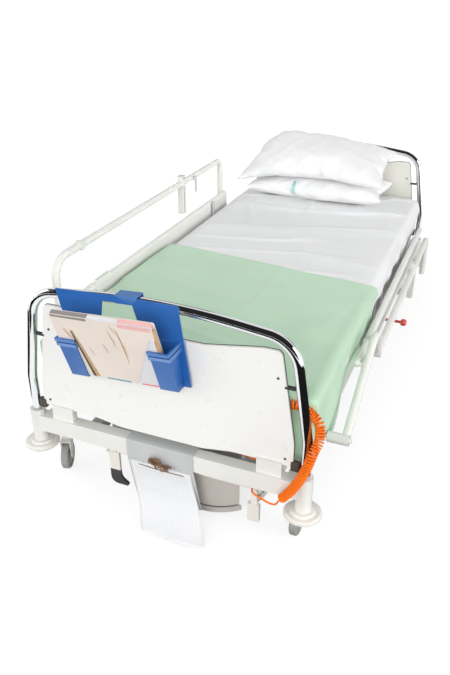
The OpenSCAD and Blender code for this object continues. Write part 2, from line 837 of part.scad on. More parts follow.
module side_frame() color(white_paint) {
  difference() {
    union() {
      for (side = [-1, 1]) {
        block([side_tube_w, 2 * end_y - bar_t, side_tube_h],
          [side * side_x, 0, side_low + side_tube_h / 2]);
        for (y = [-column_y, cross_y[0], cross_y[1], column_y])
          span_box([side * side_x - side_tube_w / 2, y - side_tube_w / 2, side_top],
            [side * side_x + side_tube_w / 2, y + side_tube_w / 2,
              abs(y) == column_y ? bearer_low : deck_low - rest_gap]);
      }
      for (y = cross_y)
        block([2 * side_x, side_tube_w, cross_h], [0, y, side_top - cross_h / 2]);
      for (end = [-1, 1])
        span_box([-side_x - side_tube_w / 2, end * column_y - column_l / 2, bearer_low],
          [side_x + side_tube_w / 2, end * column_y + column_l / 2,
            bearer_low + bearer_t]);
      for (side = [-1, 1]) on_side(side) {
        hinge_ear();
        bar_x(stub_d, side_x, rail_x + rail_d / 2 + ear_t, rail_foot_y, rail_z);
        bar_x(link_stub_d, side_x, link_x + link_t + cut, link_y, rail_z);
      }
      for (y = cross_y)
        span_box([-ear_w, y - side_tube_w / 2, side_top - cut],
          [ear_w, y + side_tube_w / 2, actuator_z - actuator_d / 2]);
    }
    for (side = [-1, 1]) on_side(side)
      bar_x(knob_shaft_d + 2 * run_gap, side_x - side_tube_w, side_x + side_tube_w,
        knob_y, knob_z);
  }
}

// Ear on the right long tube with the pin that the backrest turns on
module hinge_ear() {
  ear_x = deck_w / 2 + cut;
  span_box([ear_x, hinge_y - ear_w / 2, side_low + side_tube_h / 2],
    [ear_x + ear_t, hinge_y + ear_w / 2, hinge_z]);
  intersection() {
    bar_x(ear_w, ear_x, ear_x + ear_t, hinge_y, hinge_z);
    block([2 * deck_w, 2 * ear_w, ear_w], [0, hinge_y, deck_top - cut - ear_w / 2]);
  }
  bar_x(hinge_pin_d, ear_x - cut - pin_reach, ear_x + ear_t, hinge_y, hinge_z);
}

// Fixed foot part of the mattress deck
deck_inset = 10; // from the mattress's end to the deck's end
deck_foot_y = -mattress_end + deck_inset;
deck_head_y = mattress_end - deck_inset;

module seat_deck() color(steel)
  span_box([-deck_w / 2, deck_foot_y, deck_low],
    [deck_w / 2, hinge_y - deck_t / 2 - cut, deck_top]);

// Backrest deck with its hinge tube and the crank that the actuator pushes
crank_x = 25;
crank_t = 8;
crank_drop = hinge_z - actuator_z;
crank_pin_d = 16;

module back_deck() color(steel) difference() {
  union() {
    span_box([-deck_w / 2, hinge_y, deck_low], [deck_w / 2, deck_head_y, deck_top]);
    bar_x(deck_t, -deck_w / 2, deck_w / 2, hinge_y, hinge_z);
    for (side = [-1, 1])
      block([crank_t, crank_pin_d, crank_drop],
        [side * crank_x, hinge_y, hinge_z - crank_drop / 2]);
    bar_x(crank_pin_d, -crank_x - crank_t / 2, crank_x + crank_t / 2, hinge_y, actuator_z);
  }
  for (side = [-1, 1]) on_side(side)
    bar_x(hinge_pin_d + 2 * run_gap, deck_w / 2 - pin_reach - cut, deck_w / 2 + cut,
      hinge_y, hinge_z);
}

// Backrest actuator: housing on the cross tubes and a rod that pushes the crank
actuator_d = 50;
rod_d = 20;
actuator_foot_reach = 20;
actuator_head_reach = 50;
actuator_foot_y = cross_y[0] - actuator_foot_reach;
actuator_head_y = cross_y[1] + actuator_head_reach;
pusher_t = 6;
pusher_w = 2 * (crank_x - slip_gap) - crank_t;
pusher_low = 287;
pusher_top = 352;
pusher_y = hinge_y - crank_pin_d / 2 - rest_gap;

module back_actuator() color(dark) difference() {
  bar_y(actuator_d, 0, actuator_foot_y, actuator_head_y, actuator_z);
  bar_y(rod_d + 2 * run_gap, 0, cross_y[0], actuator_head_y + cut, actuator_z);
}

module back_actuator_rod() color(steel) {
  bar_y(rod_d, 0, cross_y[0] + cut, pusher_y - pusher_t, actuator_z);
  span_box([-pusher_w / 2, pusher_y - pusher_t, pusher_low],
    [pusher_w / 2, pusher_y, pusher_top]);
}

// Mattress in three stretches: the middle one bends with the backrest
bend_ahead = 105;
bend_behind = 60;
bend_foot_y = hinge_y - bend_ahead;
bend_head_y = hinge_y + bend_behind;
mattress_low = deck_top + rest_gap;
mattress_top = deck_top + mattress_t;

// Stretch of mattress with rounded long edges
mattress_edge_r = 14;

module mattress_stretch(y0, y1, w, top) {
  translate([0, y1, (mattress_low + top) / 2]) rotate([90, 0, 0])
    linear_extrude(y1 - y0)
      round_plate(w, top - mattress_low, mattress_edge_r);
}

module mattress_seat() color(linen)
  mattress_stretch(-mattress_end, bend_foot_y, mattress_w, mattress_top);

module mattress_bend() color(linen)
  mattress_stretch(bend_foot_y + rest_gap, bend_head_y - rest_gap,
    mattress_w + 2 * sheet_t, mattress_top + sheet_t);

module mattress_back() color(linen)
  mattress_stretch(bend_head_y, mattress_end, mattress_w, mattress_top);

// Point on a skin laid over the mattress, across from the left hem to the right one
function over_mattress(across, y, out, ripple) =
  let (
    half = mattress_w / 2,
    over = abs(across) - half,
    side = across < 0 ? -1 : 1,
    r = mattress_edge_r,
    arc = r * 90 * PI / 180
  )
  over < -r ? [across, y, mattress_top + out]
  : over < arc - r ? let (a = (over + r) / arc * 90)
    [side * (half - r + (r + out) * sin(a)), y, mattress_top - r + (r + out) * cos(a)]
  : [side * (half + out + ripple * clamp01((over + r - arc) / arc)), y,
    mattress_top - r - (over + r - arc)];

// Stations across a skin, closer together at the mattress's edges
edge_steps = 3;
function stations(left_drop, right_drop, mids, hangs) =
  let (half = mattress_w / 2, r = mattress_edge_r, arc = r * 90 * PI / 180)
  concat(
    [for (k = [0:hangs - 1]) mix(-half - left_drop, -half + r - arc, k / hangs)],
    [for (k = [0:edge_steps - 1]) mix(-half + r - arc, -half + r, k / edge_steps)],
    [for (k = [0:mids]) mix(-half + r, half - r, k / mids)],
    [for (k = [1:edge_steps]) mix(half - r, half - r + arc, k / edge_steps)],
    [for (k = [1:hangs]) mix(half - r + arc, half + right_drop, k / hangs)]
  );

// Sheet with shallow waves in its hanging edge
wave_sheet = 2;
wave_turn = 130; // turn of the wave from one row to the next, in degrees
skin_gap = 0.6;
sheet_mids = 4;
sheet_hangs = 2;

function sheet_layer(y0, y1, rows, out) = [
  for (i = [0:rows])
    [for (across = stations(sheet_drop, sheet_drop, sheet_mids, sheet_hangs))
      over_mattress(across, mix(y0, y1, i / rows), out,
        wave_sheet * (1 + sin(wave_turn * i)) / 2)]
];

module sheet_stretch(y0, y1, rows) color(linen)
  grid_solid(sheet_layer(y0, y1, rows, skin_gap + sheet_t),
    sheet_layer(y0, y1, rows, skin_gap));

module sheet_seat() sheet_stretch(-mattress_end, bend_foot_y, 8);

module sheet_back() sheet_stretch(bend_head_y, mattress_end, 7);

// Blanket over the foot half, hanging at both sides and at the foot
blanket_left_y = -67;
blanket_right_y = -164;
blanket_cols = 5;
blanket_rows = 13;
blanket_mids = 6;
blanket_hangs = 4;
blanket_folds = 7; // folds along a hanging side
foot_hangs = 3;
wave_blanket = 5;
foot_drop = 150;

// Stations along the blanket from the foot hem: negative lengths hang over the foot end
function blanket_along(end) = concat(
  [for (k = [0:foot_hangs]) -foot_drop * (1 - k / foot_hangs) + k / foot_hangs - 1],
  [for (k = [1:blanket_rows]) end * k / blanket_rows]
);

// Point of the blanket: its overhangs share the corner between them
function blanket_point(across, along, out) =
  let (
    half = mattress_w / 2,
    side = across < 0 ? -1 : 1,
    over = max(0, abs(across) - half),
    foot = max(0, -along),
    drop = pow(pow(over, 4) + pow(foot, 4), 1 / 4),
    part = over + foot == 0 ? 0 : atan2(foot, over),
    fold = over > 0 && foot == 0 ? wave_blanket * clamp01(over / blanket_drop)
      * (1 + sin(along / mattress_l * 360 * blanket_folds)) / 2 : 0
  )
  [side * (min(abs(across), half) + (over > 0 ? (out + fold) * cos(part) : 0)),
    -mattress_end + max(0, along) - (foot > 0 ? out * sin(part) : 0),
    drop > 0 ? mattress_top + out - drop : mattress_top + out];

function blanket_layer(out) = [
  for (i = [0:foot_hangs + blanket_rows])
    [for (across = stations(blanket_drop, blanket_drop, blanket_mids, blanket_hangs))
      let (
        end = mattress_end + mix(blanket_left_y, blanket_right_y,
          clamp01(across / mattress_w + 1 / 2)),
        along = blanket_along(end)[i]
      )
      blanket_point(across, along, out)]
];

module blanket() color(mint)
  grid_solid(blanket_layer(sheet_t + skin_gap + blanket_t + wave_sheet),
    blanket_layer(sheet_t + skin_gap + wave_sheet));

// Pillow: a crowned cushion whose sides are drawn in between its corners
function pillow_half(s, t) = sqrt(clamp01(1 - pow(abs(s), 3)) * clamp01(1 - pow(abs(t), 3)));

function pillow_layer(face, w, l, thick, cells) = [
  for (i = [-cells:cells])
    [for (j = [-cells:cells])
      let (s = sin(90 * i / cells), t = sin(90 * j / cells))
      [s * w / 2 * (1 - draw_share * (1 - t * t)),
        t * l / 2 * (1 - draw_share * (1 - s * s)),
        face * (thick / 2 * pillow_half(s, t) + seam_t)]]
];
draw_share = 0.07; // how far the sides draw in between the corners
seam_t = 1.5;
pillow_cells = 5;

module pillow(w, l, thick) color(linen)
  grid_solid(pillow_layer(1, w, l, thick, pillow_cells),
    pillow_layer(-1, w, l, thick, pillow_cells));

pillow_squeeze = 40; // how much smaller the lower pillow is each way
pillow_clear = 9; // from the lower pillow to the head panel
pillow_y = end_y - panel_t / 2 - pillow_clear - (pillow_l - pillow_squeeze) / 2;
pillow_lean = 12;
pillow_rise = 7.4; // how much the lean lifts the upper pillow's middle
lower_pillow_z = mattress_top + skin_gap + sheet_t + rest_gap + pillow_t / 2 + seam_t;
upper_pillow_z = lower_pillow_z + (pillow_t + upper_pillow_t) / 2 + 2 * seam_t + pillow_rise;
pillow_x = -40;
upper_shift_x = -10;
upper_shift_y = -21;

module pillow_lower()
  translate([pillow_x, pillow_y, lower_pillow_z])
    pillow(pillow_w - pillow_squeeze, pillow_l - pillow_squeeze, pillow_t);

module pillow_upper()
  translate([pillow_x + upper_shift_x, pillow_y + upper_shift_y, upper_pillow_z])
    rotate([pillow_lean, 0, 0])
      pillow(pillow_w, pillow_l, upper_pillow_t);

// Side rails: the left one is raised, the right one is folded down
raised = [true, false];
arm_bend_r = 70;
eye_d = 34;
eye_pin_d = 10;
eye_gap = 0.2;
boss_d = 36;
sleeve_y = rail_foot_y + rail_reach;
top_z = rail_z + rail_rise;
low_z = rail_z + low_rise;
low_inset = 33;
low_rail_x = rail_x - low_inset;
low_pin_d = 12;
board_inset = 13;
board_x = low_rail_x - board_inset;
board_foot_y = -620;
low_head_y = 640;
post_drop = 200;
head_bend_r = 40;
link_w = 24;
link_pin_d = 8;
link_pin_gap = 0.5;

// How a point of the folding linkage moves when the arm swings from upright
function swung(v) = [
  v[0] * cos(rail_swing) + v[1] * sin(rail_swing),
  v[1] * cos(rail_swing) - v[0] * sin(rail_swing)
];
top_shift = swung([rail_reach, rail_rise]) - [rail_reach, rail_rise];
low_shift = swung([0, low_rise]) - [0, low_rise];

// Put a rail piece, drawn raised, where the given side's rail stands
module rail_shift(side, shift) {
  on_side(side)
    translate(side < 0 ? [0, 0, 0] : [0, shift[0], shift[1]]) children();
}

module rail_swung(side, y) {
  on_side(side)
    translate([0, y, rail_z]) rotate([side < 0 ? 0 : -rail_swing, 0, 0])
      translate([0, -y, -rail_z]) children();
}

module rail_arm(side) color(white_paint) rail_swung(side, rail_foot_y) difference() {
  union() {
    translate([rail_x, 0, 0]) rotate([90, 0, 90])
      tube_path([[rail_foot_y, rail_z], [rail_foot_y, top_z], [sleeve_y, top_z]],
        [0, arm_bend_r, 0], rail_d);
    bar_x(boss_d, link_x, rail_x + rail_d / 2, rail_foot_y, rail_z);
    bar_x(eye_d, rail_x - rail_d / 2, rail_x - eye_gap, sleeve_y, top_z);
  }
  bar_x(stub_d + 2 * run_gap, link_x - cut, rail_x + rail_d, rail_foot_y, rail_z);
  bar_x(low_pin_d + 2 * run_gap, rail_x - rail_d, rail_x + rail_d, rail_foot_y, low_z);
  bar_x(eye_pin_d + 2 * run_gap, rail_x - rail_d, rail_x + rail_d, sleeve_y, top_z);
  bar_x(eye_d + 2 * cut, rail_x - eye_gap, rail_x + rail_d, sleeve_y, top_z);
}

// Top rail with its sleeve eye, slotted channel and head post
channel_y = 210;
channel_w = 34;
channel_low = 560;
channel_top = 735;
channel_wall = 3;
channel_inset = 2; // how much thinner the channel is than the rail
slot_w = 10;
lever_y = 310;
lever_drop = 18;
lever_pin_d = 6;

module top_rail(side) color(white_paint) rail_shift(side, top_shift) {
  difference() {
    union() {
      translate([rail_x, 0, 0]) rotate([90, 0, 90])
        tube_path([[sleeve_y, top_z], [rail_head_y, top_z],
          [rail_head_y, top_z - post_drop]], [0, head_bend_r, 0], rail_d);
      bar_x(eye_d, rail_x + eye_gap, rail_x + rail_d / 2, sleeve_y, top_z);
      block([rail_d - channel_inset, channel_w, channel_top - channel_low],
        [rail_x, channel_y, (channel_low + channel_top) / 2]);
    }
    bar_x(eye_d + 2 * cut, rail_x - rail_d, rail_x + eye_gap, sleeve_y, top_z);
    for (part = [[channel_low + channel_wall, top_z - rail_d / 2 - channel_wall],
        [top_z + rail_d / 2 + channel_wall, channel_top - channel_wall]])
      span_box([rail_x - rail_d, channel_y - slot_w / 2, part[0]],
        [rail_x + rail_d / 2 - 2 * channel_wall, channel_y + slot_w / 2, part[1]]);
  }
  bar_x(eye_pin_d, rail_x - rail_d / 2, rail_x + rail_d / 2, sleeve_y, top_z);
  bar_x(lever_pin_d, rail_x - rail_d / 2 - lever_t - eye_gap, rail_x, lever_y, top_z);
}

// Bent lever that frees the rail
lever_t = 5;
lever_l = 70;
lever_w = 12;
lever_round = 2;

module release_lever(side) color(grey) rail_shift(side, top_shift)
  translate([rail_x - rail_d / 2 - lever_t - eye_gap, 0, 0])
    rotate([90, 0, 90]) linear_extrude(lever_t) difference() {
      union() {
        translate([lever_y, top_z]) circle(d = lever_drop);
        polygon(rounded([
          [lever_y - lever_drop / 2, top_z],
          [lever_y, top_z - lever_drop / 2],
          [lever_y + lever_w, top_z - lever_drop / 2],
          [lever_y + lever_w, top_z - lever_l],
          [lever_y + 2 * lever_w, top_z - lever_l],
          [lever_y + 2 * lever_w, top_z + lever_drop / 2],
          [lever_y, top_z + lever_drop / 2]
        ], [0, 0, 0, lever_round, lever_round, lever_w - lever_round, 0], 4));
      }
      translate([lever_y, top_z]) circle(d = lever_pin_d + 2 * run_gap);
    }

// Lower rail tube with its board, pivot pins and latch
latch_l = 90;
latch_h = 12;
latch_y = -600;

module lower_rail(side) {
  color(white_paint) rail_shift(side, low_shift) {
    bar_y(low_rail_d, low_rail_x, rail_foot_y, low_head_y, low_z);
    bar_x(low_pin_d, low_rail_x, rail_x + rail_d / 2 + cut, rail_foot_y, low_z);
    translate([low_rail_x, rail_foot_y, low_z]) sphere(d = low_rail_d);
    bar_x(link_pin_d, link_x - cut, low_rail_x, link_y, low_z);
    bar_y(low_rail_d + 2 * channel_wall, low_rail_x, board_foot_y - 2 * latch_h,
      board_foot_y, low_z);
  }
  color(cream) rail_shift(side, low_shift)
    span_box([board_x, board_foot_y, low_z - low_rail_d / 2 - rail_board_h + cut],
      [board_x + rail_board_t, low_head_y, low_z]);
  color(dark) rail_shift(side, low_shift)
    block([latch_h, latch_l, latch_h],
      [low_rail_x, latch_y + latch_l / 2, low_z + low_rail_d / 2]);
}

// Rear parallel link between the upper frame and the lower rail
module rear_link(side) color(grey) rail_swung(side, link_y)
  translate([link_x, 0, 0]) rotate([90, 0, 90]) linear_extrude(link_t) difference() {
    union() {
      translate([link_y, rail_z]) circle(d = link_w);
      translate([link_y, low_z]) circle(d = link_w);
      translate([link_y - link_w / 2, rail_z]) square([link_w, low_rise]);
    }
    translate([link_y, rail_z]) circle(d = link_stub_d + 2 * run_gap);
    translate([link_y, low_z]) circle(d = link_pin_d + 2 * link_pin_gap);
  }

// Pull knob that drops the backrest in an emergency
knob_d = 30;
knob_x = 541;
knob_l = 24;
knob_pull = 15;
knob_round = 4;
knob_dome = 8;
knob_face_r = 9;

module cpr_knob(side) on_side(side) {
  color(steel) bar_x(knob_shaft_d, side_x - side_tube_w / 2 - knob_pull,
    knob_x + knob_l / 2, knob_y, knob_z);
  color(red) translate([knob_x, knob_y, knob_z]) rotate([0, 90, 0])
    rotate_extrude() polygon([
      [0, 0], [knob_d / 2 - knob_round, 0], [knob_d / 2, knob_round],
      [knob_d / 2, knob_l - knob_dome], [knob_face_r, knob_l], [0, knob_l]
    ]);
}

// Control box behind the foot crossbar, with the glands of the cord
box_inset = 125; // from the long tube's middle to the box's
box_x = side_x - box_inset;
box_w = 100;
box_l = 54;
box_low = 222;
box_h = 36;
gland_d = 14;
gland_h = 8;
box_y = -end_y + bar_t / 2;
gland_shift = [5, 27]; // from the middle of the box's front to the lower gland
plug_shift = [-39, 24];
gland_x = box_x + gland_shift[0];
gland_y = box_y + gland_shift[1];
plug_x = box_x + plug_shift[0];
plug_y = box_y + plug_shift[1];

module control_box() color(grey) {
  span_box([box_x - box_w / 2, box_y, box_low], [box_x + box_w / 2, box_y + box_l,
    box_low + box_h]);
  bar_z(gland_d, gland_x, gland_y, box_low - gland_h, box_low + cut);
  bar_z(gland_d, plug_x, plug_y, box_low + box_h - cut, box_low + box_h + gland_h);
}

// Route of the curly cord: from the box, round the hoop and back behind the board
lead_in = [[300, -1003, 214], [300, -1003, 206], [302, -1020, 199], [304, -1045, 199],
  [308, -1070, 200], [318, -1084, 202], [340, -1086, 193], [368, -1090, 187],
  [390, -1096, 194]];
curl_route = [[408, -1102, 222], [440, -1102, 261], [471, -1101, 309], [492, -1098, 358],
  [502, -1086, 400], [504, -1056, 432], [488, -1027, 457], [458, -1013, 484],
  [427, -1015, 505], [394, -1018, 502], [369, -1020, 474]];
lead_out = [[360, -1020, 440], [350, -1020, 380], [336, -1019, 310], [318, -1016, 276],
  [290, -1012, 270], [262, -1007, 276], [256, -1006, 272], [256, -1006, 266]];
curl_rings = 8;
curl_sides = 6;
curl_r = (curl_od - cord_d) / 2;

// Smooth curve through a list of points, with steps on each stretch
function spline_point(a, b, c, d, t) =
  (2 * b + (c - a) * t + (2 * a - 5 * b + 4 * c - d) * t * t
    + (3 * b - a - 3 * c + d) * t * t * t) / 2;
function spline(points, steps) = [
  for (i = [0:len(points) - 2], k = [0:steps - 1])
    spline_point(points[max(0, i - 1)], points[i], points[i + 1],
      points[min(len(points) - 1, i + 2)], k / steps)
];
// Running length along a list of points
function run_lengths(points) = [
  for (i = 0, total = 0; i < len(points); i = i + 1,
    total = i < len(points) ? total + norm(points[i] - points[i - 1]) : total) total
];

spline_steps = 12;
whole_route = concat(lead_in, curl_route, lead_out);
fine = spline(whole_route, spline_steps);
fine_runs = run_lengths(fine);
curl_from = fine_runs[len(lead_in) * spline_steps];
curl_to = fine_runs[(len(lead_in) + len(curl_route) - 1) * spline_steps];
fine_total = fine_runs[len(fine) - 1];

// Where a rising list reaches a value, and what a second list holds there
function find_step(rising, value, low, high) =
  high - low <= 1 ? low
  : let (half = floor((low + high) / 2))
    rising[half] <= value ? find_step(rising, value, half, high)
    : find_step(rising, value, low, half);
function read_off(rising, list, value) =
  let (i = find_step(rising, value, 0, len(rising) - 1))
  mix(list[i], list[i + 1], (value - rising[i]) / (rising[i + 1] - rising[i]));
function route_at(length) = read_off(fine_runs, fine, length);

// Curls lie wider apart where the route bends, to clear each other on the inner side
fine_last = len(fine) - 1;
bend_reach = 4;
function bend_at(i) =
  let (
    a = fine[max(0, i - bend_reach)],
    b = fine[i],
    c = fine[min(fine_last, i + bend_reach)]
  )
  i < bend_reach || i > fine_last - bend_reach ? 0
  : turn(a, b, c) * PI / 180 / ((norm(b - a) + norm(c - b)) / 2);
spread = [for (i = [0:fine_last]) 1 / (1 - curl_r * bend_at(i))];
pace_runs = [
  for (i = 0, total = 0; i <= fine_last; i = i + 1,
    total = i <= fine_last
      ? total + norm(fine[i] - fine[i - 1]) * 2 / (spread[i] + spread[i - 1])
      : total) total
];
pace_from = pace_runs[len(lead_in) * spline_steps];
pace_to = pace_runs[(len(lead_in) + len(curl_route) - 1) * spline_steps];

lead_in_rings = 14;
lead_out_rings = 22;
curl_steps = curl_count * curl_rings;
stations_along = concat(
  [for (k = [0:lead_in_rings - 1]) curl_from * k / lead_in_rings],
  [for (k = [0:curl_steps]) read_off(pace_runs, fine_runs,
    mix(pace_from, pace_to, k / curl_steps))],
  [for (k = [1:lead_out_rings]) mix(curl_to, fine_total, k / lead_out_rings)]
);
axis_points = [for (s = stations_along) route_at(s)];
ring_total = len(axis_points);
axis_ways = ways_along(axis_points);
// Sideways direction carried along the route without twist
axis_sides = [
  for (i = 0, side = unit(cross(axis_ways[0], [0, 1, 0])); i < ring_total; i = i + 1,
    side = i < ring_total
      ? unit(side - (side * axis_ways[i]) * axis_ways[i]) : side) side
];
// Radius of the curls, growing over the first and the last curl
function curl_radius(i) =
  let (k = i - lead_in_rings)
  curl_r * smooth(clamp01(k / curl_rings)) * smooth(clamp01((curl_steps - k) / curl_rings));
function curl_angle(i) =
  360 * max(0, min(curl_steps, i - lead_in_rings)) / curl_rings;
cord_points = [for (i = [0:ring_total - 1])
  axis_points[i] + curl_radius(i) * (cos(curl_angle(i)) * axis_sides[i]
    + sin(curl_angle(i)) * cross(axis_ways[i], axis_sides[i]))];
cord_ways = ways_along(cord_points);
cord_sides = [
  for (i = 0, side = unit(cross(cord_ways[0], [0, 1, 0])); i < ring_total; i = i + 1,
    side = i < ring_total
      ? unit(side - (side * cord_ways[i]) * cord_ways[i]) : side) side
];

// Least gap between one curl and the next
cord_gap = min([for (i = [lead_in_rings:ring_total - curl_rings - 3])
  for (j = [i + curl_rings - 2:min(ring_total - 1, i + curl_rings + 2)])
    norm(cord_points[i] - cord_points[j])]) - cord_d;
echo(least_gap_between_curls = cord_gap);

module curly_cord() color(orange)
  tube_skin(cord_points, cord_ways, cord_sides, cord_d, curl_sides);

// Chart holder that hangs on the foot hoop: a plate with two cups, and a hook over the tube
hook_x = -80;
hook_w = 73;
hook_t = 3;
hook_drop = 22;
hook_seat = 0.5; // room for the hook's tilt against the hoop's slope
hook_z = crest_z - crest_bend_r * (1 / cos(crest_slope) - 1)
  - hook_x * hook_x / (2 * crest_bend_r) + hoop_d / 2 + slip_gap + hook_seat;
plate_back = hoop_d / 2 + slip_gap;
holder_outline_shares = [[-0.593, 0.008], [-0.038, 0.004], [0.407, -0.03], [0.457, -1],
  [0.27, -1.01], [0.1, -0.43], [0.045, -0.08], [-0.2, -0.07], [-0.25, -0.43],
  [-0.345, -1.01], [-0.5, -1], [-0.545, -0.43]];
cup_left_share = -0.507;
cup_right_share = 0.249;
cup_top_share = -0.44;
cup_wall = 3;

// Frame of the holder, its origin on the hoop's top under the hook
module holder_frame()
  translate([hook_x, -end_y, hook_z]) rotate([0, -holder_tilt, 0]) children();

module chart_holder() color(blue) holder_frame() {
  translate([0, -plate_back, 0]) rotate([90, 0, 0]) linear_extrude(holder_t)
    polygon([for (share = holder_outline_shares)
      [share[0] * holder_w, share[1] * holder_h]]);
  for (share = [cup_left_share, cup_right_share])
    cup(share * holder_w);
  span_box([-hook_w / 2, -plate_back - holder_t, -hook_drop],
    [hook_w / 2, -plate_back, hook_t]);
  span_box([-hook_w / 2, -plate_back - holder_t, 0],
    [hook_w / 2, plate_back + hook_t, hook_t]);
  span_box([-hook_w / 2, plate_back, -hook_drop], [hook_w / 2, plate_back + hook_t, hook_t]);
}

// One cup: a leaning trough with a doubled collar, open above and toward the folders
cup_slack = 8; // room behind the folders in a cup
cup_base = folder_t + 2 * cup_wall + cup_slack;
cup_skin = 0.25; // a cup's hollow stops this far before the plate
collar = 4;
collar_h = 12;
collar_step_share = 1.4;

// Point of a cup's front face, out from the plate's front at a height over the cup's floor
function cup_edge(front, low, out, z) = [front - out - (z - low) * tan(folder_lean), z];

module cup(x) {
  low = -holder_h;
  high = cup_top_share * holder_h;
  front = -plate_back - holder_t;
  difference() {
    union() {
      translate([x, 0, 0]) rotate([90, 0, 90]) linear_extrude(cup_w)
        polygon([[front, low], cup_edge(front, low, cup_base, low),
          cup_edge(front, low, cup_base, high), [front, high]]);
      for (drop = [0, collar_step_share])
        let (top = high - drop * collar_h)
        translate([x - collar, 0, 0]) rotate([90, 0, 90])
          linear_extrude(cup_w + 2 * collar)
            polygon([[front, top], cup_edge(front, low, cup_base + collar, top),
              cup_edge(front, low, cup_base + collar, top - collar_h),
              [front, top - collar_h]]);
    }
    translate([x < 0 ? x + cup_wall : x - cup_w / 2, 0, 0]) rotate([90, 0, 90])
      linear_extrude(cup_w * 3 / 2 - cup_wall)
        polygon([[front - cup_skin, low + cup_wall],
          [front - cup_base + cup_wall, low + cup_wall],
          cup_edge(front, low, cup_base - cup_wall, high + cut),
          [front - cup_skin, high + cut]]);
  }
}

// Pile of folders standing in the cups
folder_x = cup_left_share * holder_w + cup_wall + rest_gap;
folder_seat = cup_wall + rest_gap;
folder_w = (cup_right_share - cup_left_share) * holder_w + cup_w - 2 * cup_wall - rest_gap
  - folder_room;

module folders() color(buff) holder_frame()
  translate([folder_x, -plate_back - holder_t - cup_base + cup_wall + rest_gap,
      -holder_h + folder_seat])
    rotate([folder_lean, 0, 0]) cube([folder_w, folder_t, folder_h]);

// Chart board that hooks over the foot crossbar
board_low = 62;
board_skew = 25;
board_fold = 18;
chart_front = -end_y - bar_t / 2 - rest_gap;

module chart_board() color(grey) {
  translate([0, chart_front, 0]) rotate([90, 0, 0]) linear_extrude(chart_t)
    polygon([
      [-chart_w / 2, bar_top + rest_gap + chart_t], [-chart_w / 2, bar_low],
      [-chart_w / 2 + board_skew, board_low], [chart_w / 2 + board_skew, board_low],
      [chart_w / 2, bar_low], [chart_w / 2, bar_top + rest_gap + chart_t]
    ]);
  span_box([-chart_w / 2, chart_front - chart_t, bar_top + rest_gap],
    [chart_w / 2, -end_y + bar_t / 2 + rest_gap + chart_t, bar_top + rest_gap + chart_t]);
  span_box([-chart_w / 2, -end_y + bar_t / 2 + rest_gap, bar_top - board_fold],
    [chart_w / 2, -end_y + bar_t / 2 + rest_gap + chart_t, bar_top + rest_gap + chart_t]);
  for (x = [clip_left, clip_left + clip_w - clip_ear_t])
    difference() {
      union() {
        span_box([x, clip_y, clip_z - clip_pin_d],
          [x + clip_ear_t, chart_front, clip_z + clip_pin_d]);
        bar_x(2 * clip_pin_d, x, x + clip_ear_t, clip_y, clip_z);
      }
      bar_x(clip_pin_d + 2 * run_gap, x - cut, x + clip_ear_t + cut, clip_y, clip_z);
    }
}

// Sprung clip: a pressing bar under a lever on one pin
clip_left = -36;
clip_w = 90;
clip_ear_t = 3;
clip_pin_d = 5;
clip_z = 212;
clip_reach = 14; // from the crossbar's face to the clip's pin
clip_y = -end_y - bar_t / 2 - clip_reach;
clip_top = 256;
clip_plate_t = 3;
press_left = -72;
press_w = 158;
press_h = 6;
press_z = 187;
paper_t = 2;

module spring_clip() color(copper) {
  bar_x(clip_pin_d, clip_left - rest_gap, clip_left + clip_w + rest_gap, clip_y, clip_z);
  span_box([clip_left + clip_ear_t + rest_gap, clip_y - clip_plate_t / 2, clip_z],
    [clip_left + clip_w - clip_ear_t - rest_gap, clip_y + clip_plate_t / 2, clip_top]);
  span_box([clip_left + 2 * clip_ear_t, clip_y - clip_plate_t / 2, press_z],
    [clip_left + clip_w - 2 * clip_ear_t, clip_y + clip_plate_t / 2, clip_z]);
  span_box([press_left, chart_front - chart_t - paper_t - 2 * rest_gap - clip_plate_t,
      press_z - press_h / 2],
    [press_left + press_w, chart_front - chart_t - paper_t - 2 * rest_gap,
      press_z + press_h / 2]);
  span_box([clip_left + 2 * clip_ear_t, clip_y - clip_plate_t / 2, press_z - press_h / 2],
    [clip_left + clip_w - 2 * clip_ear_t,
      chart_front - chart_t - paper_t - 2 * rest_gap, press_z + press_h / 2]);
}

// Papers held by the clip, hanging askew and curling outward near the floor
paper_left = -105;
paper_top = 196;
paper_rows = 12;
paper_cols = 4;
paper_skew = 85;
paper_hang = 185;
paper_curl = 105;
paper_floor = 7;
curl_power = 2.6; // how late the papers curl outward
hang_power = 1.25; // how the hanging part shortens as they curl
skew_power = 1.5; // how the papers slant to the right

function paper_point(across, down, out) =
  let (
    bend = pow(down, curl_power),
    y = chart_front - chart_t - rest_gap - paper_curl * bend,
    z = paper_top - paper_hang * (1 - pow(1 - down, hang_power))
  )
  [paper_left + paper_w * across + paper_skew * pow(down, skew_power), y - out,
    max(paper_floor, z)];

function paper_layer(out) = [
  for (i = [0:paper_rows])
    [for (j = [0:paper_cols])
      paper_point(j / paper_cols, i / paper_rows, out)
        + [0, 0, out * pow(i / paper_rows, 2)]]
];

module papers() color(linen)
  grid_solid(paper_layer(paper_t), paper_layer(0));

